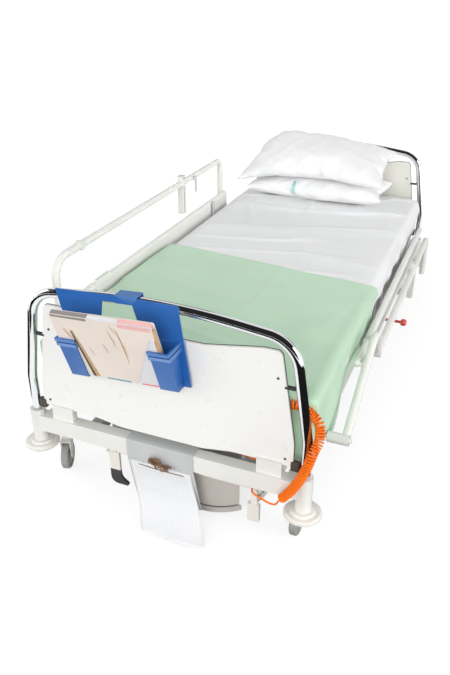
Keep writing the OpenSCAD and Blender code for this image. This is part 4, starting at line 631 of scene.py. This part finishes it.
# Pillows: two layers of cloth blown up and settled
def pillow_shape(w, l, t, seed):
    nx, ny = 64, 38
    half_w, half_l = w * 0.53, l * 0.545  # blowing up draws the edges in
    s = np.linspace(-1, 1, nx)
    r = np.linspace(-1, 1, ny)
    verts, index = [], {}
    for layer in (1, -1):
        for j in range(ny):
            for i in range(nx):
                border = i in (0, nx - 1) or j in (0, ny - 1)
                key = (i, j, 0 if border else layer)
                if key in index:
                    continue
                index[key] = len(verts)
                bulge = (1 - abs(s[i]) ** 4) * (1 - abs(r[j]) ** 4)
                z = 0 if border else layer * (0.012 + 0.03 * bulge + 0.004 * noise(s[i] * 7, r[j] * 5, seed + layer))
                verts.append((s[i] * half_w, r[j] * half_l, z))
    faces = []
    for layer in (1, -1):
        for j in range(ny - 1):
            for i in range(nx - 1):
                q = []
                for a, b in ((i, j), (i + 1, j), (i + 1, j + 1), (i, j + 1)):
                    border = a in (0, nx - 1) or b in (0, ny - 1)
                    q.append(index[(a, b, 0 if border else layer)])
                faces.append(tuple(q) if layer > 0 else tuple(q[::-1]))
    obj = link("pillow_work", verts, faces)
    c = obj.modifiers.new("cloth", "CLOTH")
    st = c.settings
    st.quality = 6
    st.mass = 0.2
    st.tension_stiffness = 14
    st.compression_stiffness = 14
    st.shear_stiffness = 7
    st.bending_stiffness = 0.12
    st.use_pressure = True
    st.uniform_pressure_force = 3.2
    st.effector_weights.gravity = 0
    c.point_cache.frame_start, c.point_cache.frame_end = 1, 40
    scene = bpy.context.scene
    for f in range(1, 34):
        scene.frame_set(f)
    dg = bpy.context.evaluated_depsgraph_get()
    e = obj.evaluated_get(dg).to_mesh()
    co = np.array([v.co for v in e.vertices])
    scene.frame_set(1)
    bpy.data.objects.remove(obj)
    lo, hi = co.min(0), co.max(0)
    co = (co - (lo + hi) / 2) / (hi - lo) * np.array([w, l, t])
    return co, faces


def crown_top(x, y, w, l, t):
    """Upper surface of a settled pillow of that size about its middle."""
    s, r = np.clip(np.abs(x) / (w / 2), 0, 1), np.clip(np.abs(y) / (l / 2), 0, 1)
    return t / 2 * np.sqrt(np.clip(1 - s ** 3, 0, 1) * np.clip(1 - r ** 3, 0, 1))


LOW_SIZE, UP_SIZE = (0.70, 0.36, 0.131), (0.74, 0.40, 0.143)
LOW_AT = (-0.04, 0.856, 0.5706)
UP_AT = (-0.05, 0.833, 0.7135)


def pillows():
    rest = TOP + SHEET_OUT + 0.0022
    co, faces = pillow_shape(*LOW_SIZE, 41)
    lower = co + np.array(LOW_AT)
    lower[:, 2] = np.where(lower[:, 2] < rest, rest + (lower[:, 2] - rest) * 0.02, lower[:, 2])
    low = link("pillow_under", lower, faces)
    co, faces = pillow_shape(*UP_SIZE, 57)
    a = math.radians(12)
    tilt = np.array([[1, 0, 0], [0, math.cos(a), -math.sin(a)], [0, math.sin(a), math.cos(a)]])
    upper = co @ tilt.T + np.array(UP_AT)
    top_of_lower = LOW_AT[2] + crown_top(upper[:, 0] - LOW_AT[0], upper[:, 1] - LOW_AT[1], *LOW_SIZE)
    side = co[:, 0] / (UP_SIZE[0] / 2)
    upper[:, 2] -= np.where(side < 0, 0.056, 0.024) * np.abs(side) ** 2.6
    upper[:, 1] -= 0.010 * np.abs(side) ** 3
    px, py, pz = co.T
    over_top = np.clip(pz / 0.05, 0, 1)
    crest = np.exp(-((px + 0.20) / 0.16) ** 2) * over_top * smooth01((py + 0.16) / 0.26)
    upper[:, 2] += 0.040 * crest + 0.016 * np.exp(-((px - 0.05) / 0.14) ** 2) * over_top
    crease = ridges(px * 7 + 2, py * 16 + px * 6, 61) + 0.7 * ridges(px * 15, py * 9 - px * 8, 62)
    upper[:, 2] += 0.0065 * crease * np.clip(pz / 0.04, 0, 1)
    dents = ridges(px * 9 + 5, py * 5 + pz * 22, 63)
    upper[:, 1] -= 0.0075 * dents * np.clip(-py / 0.15, 0, 1)
    upper[:, 2] = np.maximum(upper[:, 2], np.minimum(top_of_lower + 0.001, upper[:, 2] + 0.035))
    up = link("pillow_over", upper, faces)
    for obj, node in ((low, "pillow_lower"), (up, "pillow_upper")):
        subdivide(obj)
        dress(obj, "pillowcase")
        place(obj, "backrest", "pillowcase", node)
    return low


pillow_low = pillows()


def surface(obj):
    """Tree for finding a mesh's surface."""
    mesh = obj.data
    return BVHTree.FromPolygons([v.co for v in mesh.vertices], [p.vertices[:] for p in mesh.polygons])


def on_surface(tree, start, way, off):
    hit, normal, _, _ = tree.ray_cast(Vector(start), Vector(way), 3.0)
    if hit is None:
        return None
    if normal.dot(Vector(way)) > 0:
        normal = -normal
    return np.array(hit + normal * off)


def pillow_label():
    tree = surface(pillow_low)
    rows = []
    for z in np.linspace(0.552, 0.607, 7):
        row = [on_surface(tree, (x, 0.4, z), (0, 1, 0), 0.0012) for x in np.linspace(-0.151, -0.132, 5)]
        if all(p is not None for p in row):
            rows.append(row)
    piece("pillow_stripe", (np.array(rows).reshape(-1, 3), grid_faces(len(rows), 5, flip=True)), "stripe_green",
          "backrest", "pillowcase", thick=0.0008)


pillow_label()


# Pile of folders in the holder, in millimetres of the pile's own frame
def holder_point(p):
    lean, tilt = math.radians(17), math.radians(-3.5)
    x, y, z = np.asarray(p, float).T
    y, z = y * math.cos(lean) - z * math.sin(lean) - 50.3, y * math.sin(lean) + z * math.cos(lean) - 258.7
    x = x - 197.472
    x, z = x * math.cos(tilt) + z * math.sin(tilt), -x * math.sin(tilt) + z * math.cos(tilt)
    return np.stack([x - 80, y - 1050, z + 766.582], -1) / 1000


def card(name, outline, y0, y1, look, slot_name, warp=0.0, seed=0):
    """Flat card given by its outline in the pile's frame, its thickness from y0 to y1."""
    bm = bmesh.new()
    ring = [bm.verts.new((x, 0, z)) for x, z in outline]
    bm.faces.new(ring)
    bmesh.ops.triangulate(bm, faces=bm.faces[:])
    for _ in range(3 if warp else 0):
        bmesh.ops.subdivide_edges(bm, edges=bm.edges[:], cuts=1, use_grid_fill=True)
    bmesh.ops.recalc_face_normals(bm, faces=bm.faces[:])
    flat = np.array([v.co[:] for v in bm.verts])
    lift = warp * (noise(flat[:, 0] / 90 + seed, flat[:, 2] / 70, 50 + seed)
                   + 0.3 * noise(flat[:, 0] / 22, flat[:, 2] / 30, 51))
    flat[:, 1] = (y0 + y1) / 2 - np.abs(lift)
    for v, c in zip(bm.verts, holder_point(flat)):
        v.co = c
    mesh = bpy.data.meshes.new(name)
    bm.to_mesh(mesh)
    bm.free()
    obj = bpy.data.objects.new(name, mesh)
    bpy.context.collection.objects.link(obj)
    solidify(obj, (y1 - y0) / 1000)
    dress(obj, look)
    place(obj, "folders", slot_name, "folders")


def streak(name, a, b, width, look, bow=0.0, y=-0.9):
    """Thin mark on the front cover from a to b."""
    t = np.linspace(0, 1, 14)
    a, b = np.array(a, float), np.array(b, float)
    way = (b - a) / np.linalg.norm(b - a)
    side = np.array([-way[1], way[0]])
    pts = a + (b - a) * t[:, None] + side * (bow * np.sin(t * math.pi) + 1.4 * noise(t * 6, bow, 60))[:, None]
    half = width / 2 * np.sin(t * math.pi * 0.94 + 0.1)[:, None]
    rows = [np.stack([q[:, 0], np.full(len(q), y), q[:, 1]], 1) for q in (pts - side * half, pts + side * half)]
    verts = np.stack([holder_point(rows[0]), holder_point(rows[1])], 1).reshape(-1, 3)
    piece(name, (verts, grid_faces(len(t), 2)), look, "folders", "buff_card", thick=0.0004)


def folders():
    full = [(2, 1), (328, 1), (329, 238), (326, 243), (4, 243)]
    card("folder_back", full, 17.4, 19.2, "buff_card", "buff_card", 0.5, 1)
    for i in range(9):
        y = 4.4 + i * 1.4
        dx, dz = 3 * math.sin(i * 2.3), 2.5 * math.sin(i * 1.7 + 1)
        look = "white_paper" if i % 3 else "buff_card"
        card("folder_leaf_%d" % i, [(6 + dx, 3), (320 + dx, 3), (321 + dx, 236 + dz), (7 + dx, 236 + dz)], y, y + 0.7,
             look, look, 0.25, i)
    card("folder_inner", [(4, 2), (326, 2), (327, 239), (3, 241)], 2.4, 3.2, "white_paper", "white_paper", 0.4, 12)
    card("folder_front", [(1, 2), (222, 2), (234, 60), (238, 172), (254, 188), (327, 192), (328, 233), (128, 239),
                          (126, 243), (3, 243)], 0.9, 1.7, "buff_card", "buff_card", 0.6, 14)
    card("folder_tab_grey", [(8, 233), (124, 231), (124, 244.5), (8, 244.5)], 3.4, 15.0, "tab_grey", "buff_card")
    card("folder_step", [(126, 236), (222, 235), (222, 243.5), (126, 243.5)], 3.4, 14.0, "white_paper", "white_paper")
    card("folder_tab_pink", [(222, 224), (322, 222), (322, 241.5), (222, 242.5)], 3.4, 15.5, "tab_pink", "buff_card")
    card("folder_lip_pink", [(222, 224), (322, 222), (322, 236), (222, 237)], -0.1, 0.5, "tab_pink", "buff_card")
    card("folder_lip_grey", [(8, 233), (124, 231), (124, 240), (8, 240)], -0.1, 0.5, "tab_grey", "buff_card")
    card("folder_page_edge", [(322.5, 4), (328.5, 4), (328.5, 222), (322.5, 222)], 2.0, 15.0, "page_edge_and_painted_shade",
         "buff_card")
    card("folder_base_teal", [(120, 0.5), (200, 0.5), (200, 4.5), (120, 4.5)], -0.2, 0.6, "line_blue", "buff_card")
    card("folder_base_red", [(236, 0.5), (292, 0.5), (292, 4.0), (236, 4.0)], -0.2, 0.6, "tab_red", "buff_card")
    # The first six streaks are painted shade in the front cover's creases
    for i, (a, b, w, bow) in enumerate([((181, 208), (193, 141), 2.6, 2), ((207, 220), (216, 82), 3.0, 6),
                                        ((213, 214), (226, 120), 2.0, -3), ((31, 190), (51, 154), 2.2, 1),
                                        ((38, 196), (60, 150), 1.4, -1), ((196, 226), (205, 196), 2.0, 0),
                                        ((150, 150), (158, 112), 1.6, 2), ((98, 128), (110, 96), 1.2, 1)]):
        streak("folder_streak_%d" % i, a, b, w, "crease" if i < 6 else "tab_grey", bow)
    # Painted shadow: brown cards on the front cover just right of the left cup stand for the shade there
    card("folder_painted_shade", [(56, 188), (64, 186), (96, 4), (78, 4)], -0.5, 0.1, "page_edge_and_painted_shade", "buff_card")
    card("folder_painted_shade_deep", [(56, 186), (60, 184), (84, 4), (74, 4)], -0.9, -0.4, "dark_brown_and_painted_shade", "buff_card")
    for i, (x, z) in enumerate([(278, 150), (288, 128), (282, 108)]):
        streak("folder_mark_%d" % i, (x, z), (x + 14, z - 2), 5, "line_ink", 0, 1.9)


folders()


# Papers under the clip, hanging askew and curling outward, with faint ruled lines
def paper_point(a, d, off=0.0):
    bend = d ** 2.6
    curl = 0.012 * np.sin(a * 7.0 + 0.8) * smooth01((d - 0.62) / 0.38)
    x = -0.105 + 0.212 * a + 0.085 * d ** 1.5
    y = -1.0736 - 0.105 * bend + curl * 0.4 - 0.0012 - off
    z = np.maximum(0.0072, 0.196 - 0.185 * (1 - (1 - d) ** 1.25) + 0.5 * np.abs(curl) * bend)
    return np.stack([x + 0 * z, y + 0 * z, z + 0 * x], -1)


INK_OFF = 0.0019  # half a millimetre in front of the top sheet


def papers():
    rows, cols = 46, 26
    for k, (skew, off) in enumerate([(0.0, 0.0014), (0.006, 0.0006), (-0.005, -0.0002)]):
        a = np.linspace(0, 1, cols)[None, :]
        d = np.linspace(0, 1, rows)[:, None]
        cut = np.where(k == 0, 0.07 * np.clip((a - 0.86) / 0.14, 0, 1), 0.0)
        d = cut + d * (1 - cut - 0.012 * k)
        p = paper_point(a + 0 * d, d + 0 * a, off)
        p[..., 0] += skew * d
        piece("paper_%d" % k, (p.reshape(-1, 3), grid_faces(rows, cols)), "white_paper", "chart_board", "white_paper",
              "papers", thick=0.0005)
    parts = []

    def ruled(one, other):
        parts.append((np.stack([one, other], 1).reshape(-1, 3), grid_faces(len(one), 2)))

    d = np.linspace(0.1, 0.95, 40)
    for a in np.linspace(0.09, 0.92, 17):
        ruled(paper_point(a - 0.0016 + 0 * d, d, INK_OFF), paper_point(a + 0.0016 + 0 * d, d, INK_OFF))
    a = np.linspace(0.09, 0.92, 24)
    for d in (0.1, 0.16, 0.4, 0.44):
        ruled(paper_point(a, d + 0 * a, INK_OFF), paper_point(a, d + 0.004 + 0 * a, INK_OFF))
    piece("paper_lines", joined(parts), "line_ink", "chart_board", "white_paper", thick=0.0002)


papers()


# Copper spring clip: bundled wire loops over a thin pressing bar
def spring_clip():
    parts = []
    wire, coil_y, coil_z = 0.0011, -1.084, 0.212
    rng = np.random.RandomState(5)
    for cx, cz, r, loops in ((-0.003, 0.222, 0.019, 11), (0.024, 0.205, 0.013, 7), (-0.020, 0.228, 0.010, 5)):
        for i in range(loops):
            turn = TAU * i / loops + rng.rand() * 0.4
            t = np.linspace(0, TAU, 22)
            length, width = r * (0.8 + 0.4 * rng.rand()), r * (0.28 + 0.18 * rng.rand())
            u = length / 2 * (1 - np.cos(t))
            w = width * np.sin(t)
            x = cx + u * math.cos(turn) - w * math.sin(turn)
            z = cz + u * math.sin(turn) + w * math.cos(turn)
            y = -1.0855 - 0.008 * np.sin(t / 2) * (0.4 + 0.6 * rng.rand())
            parts.append(tube_mesh(np.stack([x, y + 0 * x, z], 1), wire, 7, hint=(0.2, 1, 0.1)))
    t = np.linspace(0, TAU * 9, 200)
    coil = np.stack([-0.026 + 0.062 * t / t[-1], coil_y + 0.0042 * np.cos(t), coil_z + 0.0042 * np.sin(t)], 1)
    parts.append(tube_mesh(coil, wire, 7))
    parts.append(tube_mesh([(-0.0363, coil_y, coil_z), (0.0543, coil_y, coil_z)], 0.0024, 12))
    bar = [(-0.072, -1.0790, 0.1885), (-0.03, -1.0800, 0.1868), (0.02, -1.0800, 0.1862), (0.086, -1.0790, 0.1856)]
    parts.append(tube_mesh(bar, wire, 8))
    for x, out, foot in ((-0.012, -0.014, 0.187), (0.030, 0.032, 0.186)):
        parts.append(tube_mesh([(x, coil_y, coil_z), (out, -1.082, 0.198), (x, -1.0795, foot)], 0.0012, 8))
    piece("spring_clip_wire", joined(parts), "copper_wire", "clip", "copper_wire", "spring_clip")


spring_clip()


# Fixings of the two panels: thin dark straps, domed screw heads and corner brackets
def leg_x(z):
    return POST_X + (SHOULDER_X - POST_X) * (z - NECK_Z) / (SHOULDER_Z - NECK_Z)


STRAP_Z, STRAP_HALF, STRAP_OFF = 0.575, 0.0035, 0.0052
SCREWS = ((0.370, 0.600), (0.401, 0.335))
SCREW_FACE = [(0.0048, 0.0040), (0.0066, 0.0038), (0.0070, 0.0024)]  # off the panel's middle, radius


def panel_fixings(end, body, node, name):
    dark, steel = [], []
    y = end * END_Y
    for side in (-1, 1):
        inner = side * (leg_x(STRAP_Z) - 0.0145)
        panel_edge = side * (leg_x(STRAP_Z) - 0.046)
        for face in (-1, 1):
            lo = (min(inner, panel_edge), y + face * STRAP_OFF - 0.0008, STRAP_Z - STRAP_HALF)
            hi = (max(inner, panel_edge), y + face * STRAP_OFF + 0.0008, STRAP_Z + STRAP_HALF)
            dark.append(box_mesh(lo, hi))
        for x, z in SCREWS:
            for face in (-1, 1):
                steel.append(tube_mesh([(side * x, y + face * off, z) for off, _ in SCREW_FACE],
                                       [r for _, r in SCREW_FACE], 20, hint=(1, 0, 0)))
    piece(name + "_straps", joined(dark), "dark_fixings_and_rim_shade", body, "fixing_plastic", node)
    piece(name + "_screws", joined(steel), "dark_fixings_and_rim_shade", body, "fixing_plastic", node)
    blocks = []
    for side in (-1, 1):
        lo_x, hi_x = sorted((side * 0.4185, side * 0.4455))
        blocks.append(box_mesh((lo_x, y - 0.009, 0.2985), (hi_x, y + 0.009, 0.3310)))
    brackets = link(name + "_brackets", *joined(blocks), smooth=False)
    bevel(brackets, 0.003, weld=False)
    dress(brackets, "dark_brown_and_painted_shade")
    place(brackets, body, "fixing_plastic")


panel_fixings(-1, "foot_board", "foot_panel_fixings", "foot")
panel_fixings(1, "head_board", "head_panel_fixings", "head")


# Painted shade: a thin dark line behind the rim of each panel, standing in for the shadowed gap between panel and
# hoop
SHADE_LINE_R = 0.0016


def painted_rim_shade(y, body, name):
    out = [(-0.425, 0.311), (-0.23375, 0.311), (-0.14025, 0.296), (0.14025, 0.296), (0.23375, 0.311), (0.425, 0.311),
           (0.425, 0.392), (0.378, 0.684), (0.32508, 0.684), (0.1512, 0.656), (-0.1512, 0.656), (-0.32508, 0.684),
           (-0.378, 0.684), (-0.425, 0.392)]
    sharp, soft = 0.018, 0.09
    flat = fillet(out, [sharp, soft, soft, soft, soft, sharp, soft] + [sharp, soft, soft, soft, soft, sharp, soft], 8)
    flat = np.vstack([flat, flat[:1]])
    line = distinct(np.stack([flat[:, 0], np.full(len(flat), y), flat[:, 1]], 1), 1e-5)
    piece(name, tube_mesh(line, SHADE_LINE_R, 8), "dark_fixings_and_rim_shade", body, "fixing_plastic")


RIM_SHADE_Y = END_Y - 0.0038  # on the mattress side of the panel's middle
painted_rim_shade(-RIM_SHADE_Y, "foot_board", "foot_panel_rim_shade")
painted_rim_shade(RIM_SHADE_Y, "head_board", "head_panel_rim_shade")


# Painted shade: a dark line standing in for the shade in the groove above the base cover's lip
COVER_X, COVER_Y, COVER_W, COVER_L, COVER_R = 0.061, 0.8, 0.454, 0.44, 0.17
GROOVE_Z, GROOVE_OUT = 0.0375, 0.0002
CROSS_Y, CROSS_ROOM = 0.955, 0.0225


def painted_groove_shade(cy, name):
    """Broken where the cross tube runs through the cover."""
    w, l, r = COVER_W / 2 - COVER_R, COVER_L / 2 - COVER_R, COVER_R + GROOVE_OUT
    t = np.linspace(0, math.pi / 2, 16)
    ring = []
    for k, (sx, sy) in enumerate(((1, 1), (-1, 1), (-1, -1), (1, -1))):
        a = t + k * math.pi / 2
        ring += [(COVER_X + sx * w + r * c, cy + sy * l + r * q) for c, q in zip(np.cos(a), np.sin(a))]
    ring.append(ring[0])
    ring = np.array(ring)
    run = np.concatenate([[0], np.cumsum(np.linalg.norm(np.diff(ring, axis=0), axis=1))])
    fine = np.linspace(0, run[-1], 400)
    ring = np.stack([np.interp(fine, run, ring[:, k]) for k in (0, 1)], 1)
    clear = np.abs(ring[:, 1] - math.copysign(CROSS_Y, cy)) > CROSS_ROOM
    first = int(np.argmax(~clear))
    ring, clear = np.roll(ring, -first, axis=0), np.roll(clear, -first)
    parts, arc = [], []
    for (x, y), free in zip(ring, clear):
        if free and (not arc or math.dist((x, y), arc[-1][:2]) < 0.01):
            if not arc or math.dist((x, y), arc[-1][:2]) > 1e-5:
                arc.append((x, y, GROOVE_Z))
        elif arc:
            parts.append(arc)
            arc = []
    if arc:
        parts.append(arc)
    tubes = [tube_mesh(np.array(a), SHADE_LINE_R, 8, hint=(0, 0, 1)) for a in parts if len(a) > 3]
    piece(name, joined(tubes), "dark_brown_and_painted_shade", "base", "greige_plastic")


painted_groove_shade(-COVER_Y, "cover_groove_shade_foot")
painted_groove_shade(COVER_Y, "cover_groove_shade_head")


# Broken edges on the metal and plastic pieces that keep their CAD shape
for name, width in (("crossbar_foot", 0.003), ("crossbar_head", 0.003), ("side_frame", 0.002),
                    ("chart_holder", 0.0009), ("chart_board", 0.0008), ("foot_panel", 0.003), ("head_panel", 0.003),
                    ("base_cover_foot", 0.002), ("base_cover_head", 0.002), ("base_frame", 0.002),
                    ("control_box", 0.004), ("pedal_shaft", 0.002), ("pedal_pad", 0.002),
                    ("release_lever_left", 0.001), ("release_lever_right", 0.001), ("lower_rail_left", 0.002),
                    ("lower_rail_right", 0.002), ("top_rail_left", 0.001), ("top_rail_right", 0.001),
                    ("cpr_knob_left", 0.002), ("cpr_knob_right", 0.002)):
    bevel(NODES[name], width)


# Floor, world and lamps
def floor():
    far = 120
    corners = [(-far, -far, 0), (far, -far, 0), (far, far, 0), (-far, far, 0)]
    obj = link("floor", corners, [(0, 1, 2, 3)], smooth=False)
    m = bpy.data.materials.new("floor")
    nt = fresh_tree(m)
    join = nt.links.new
    diffuse = node(nt, "BsdfDiffuse", {"Color": (0.3, 0.3, 0.3, 1)})
    glow = node(nt, "Emission", {"Color": (1, 1, 1, 1)})
    path = node(nt, "LightPath")
    both = node(nt, "Math", operation="MAXIMUM")
    join(path.outputs["Is Camera Ray"], both.inputs[0])
    join(path.outputs["Is Glossy Ray"], both.inputs[1])
    away = node(nt, "VectorMath", operation="LENGTH")
    join(node(nt, "TexCoord").outputs["Object"], away.inputs[0])
    # The glow is weaker near the bed, where its shadows fall, and full white from 3.6 m out
    grow = node(nt, "MapRange", {"From Min": 1.3, "From Max": 3.6, "To Min": 0.78, "To Max": 1.0},
                interpolation_type="SMOOTHSTEP")
    join(away.outputs["Value"], grow.inputs["Value"])
    lift = node(nt, "Math", operation="MULTIPLY")
    join(both.outputs[0], lift.inputs[0])
    join(grow.outputs["Result"], lift.inputs[1])
    join(lift.outputs[0], glow.inputs["Strength"])
    add = node(nt, "AddShader")
    join(diffuse.outputs[0], add.inputs[0])
    join(glow.outputs[0], add.inputs[1])
    join(add.outputs[0], node(nt, "OutputMaterial").inputs["Surface"])
    obj.data.materials.append(m)


floor()


def flag(name, corners):
    """Dark card that only reflections see."""
    obj = link(name, corners, [(0, 1, 2, 3)], smooth=False)
    m = bpy.data.materials.new(name)
    m.use_nodes = True
    bsdf = m.node_tree.nodes["Principled BSDF"]
    bsdf.inputs["Base Color"].default_value = (0.01, 0.01, 0.01, 1)
    bsdf.inputs["Specular IOR Level"].default_value = 0.0
    obj.data.materials.append(m)
    for ray in ("camera", "diffuse", "shadow", "transmission", "volume_scatter"):
        setattr(obj, "visible_" + ray, False)


flag("flag_right", [(0.12, -14.0, 0.02), (3.2, -14.0, 0.02), (3.2, 0.2, 0.02), (0.12, 0.2, 0.02)])
flag("flag_front", [(-5.0, -14.0, 0.03), (0.11, -14.0, 0.03), (0.11, -1.95, 0.03), (-5.0, -1.95, 0.03)])
flag("flag_left", [(-2.2, -1.9, 0.02), (-0.95, -1.9, 0.02), (-0.95, 0.2, 0.02), (-2.2, 0.2, 0.02)])

SKY = [(0.0, 0.02), (0.60, 0.02), (0.70, 0.9), (0.86, 0.9), (0.93, 0.05), (1.0, 0.05)]


def background():
    """White to the camera, soft to surfaces, and light and dark bands along Y to reflections."""
    world = bpy.data.worlds.new("world")
    bpy.context.scene.world = world
    nt = fresh_tree(world)
    join = nt.links.new
    path = node(nt, "LightPath")
    white = node(nt, "Background", {"Color": (1, 1, 1, 1)})
    soft = node(nt, "Background", {"Color": (0.99, 0.995, 1, 1), "Strength": 0.44})
    gloss = node(nt, "Background")
    split = node(nt, "SeparateXYZ")
    join(node(nt, "TexCoord").outputs["Generated"], split.inputs[0])
    ramp = node(nt, "ValToRGB")
    bands = ramp.color_ramp
    bands.interpolation = "EASE"
    while len(bands.elements) < len(SKY):
        bands.elements.new(0.5)
    for e, (pos, val) in zip(bands.elements, SKY):
        e.position = pos
        e.color = (val, val, val, 1)
    half = node(nt, "MapRange", {"From Min": -1, "From Max": 1})
    join(split.outputs["Y"], half.inputs["Value"])
    join(half.outputs["Result"], ramp.inputs["Fac"])
    join(ramp.outputs["Color"], gloss.inputs["Color"])
    shiny, seen = node(nt, "MixShader"), node(nt, "MixShader")
    join(path.outputs["Is Glossy Ray"], shiny.inputs[0])
    join(soft.outputs[0], shiny.inputs[1])
    join(gloss.outputs[0], shiny.inputs[2])
    join(path.outputs["Is Camera Ray"], seen.inputs[0])
    join(shiny.outputs[0], seen.inputs[1])
    join(white.outputs[0], seen.inputs[2])
    join(seen.outputs[0], node(nt, "OutputWorld").inputs["Surface"])


background()

LAMP_AWAY, LAMP_SIZE = 8, 5.0


def lamp(name, way, share):
    """Square lamp aimed at the bed from a direction; share is the light it gives a surface that faces it."""
    aim = Vector((0, 0, 0.4))
    data = bpy.data.lights.new(name, "AREA")
    data.shape = "SQUARE"
    data.size = LAMP_SIZE
    data.energy = share * (math.pi * LAMP_AWAY) ** 2
    obj = bpy.data.objects.new(name, data)
    bpy.context.collection.objects.link(obj)
    obj.location = aim + Vector(way).normalized() * LAMP_AWAY
    obj.rotation_euler = (aim - obj.location).to_track_quat("-Z", "Y").to_euler()
    return obj


lamp("key", (0.2, -0.9, 0.33), 0.5).visible_glossy = False
lamp("front_left", (-0.65, -0.7, 0.3), 0.2).visible_glossy = False
lamp("right", (0.95, -0.1, 0.25), 0.55)
lamp("left", (-0.9, -0.2, 0.35), 0.2)
lamp("back", (0, 0.9, 0.4), 0.1)
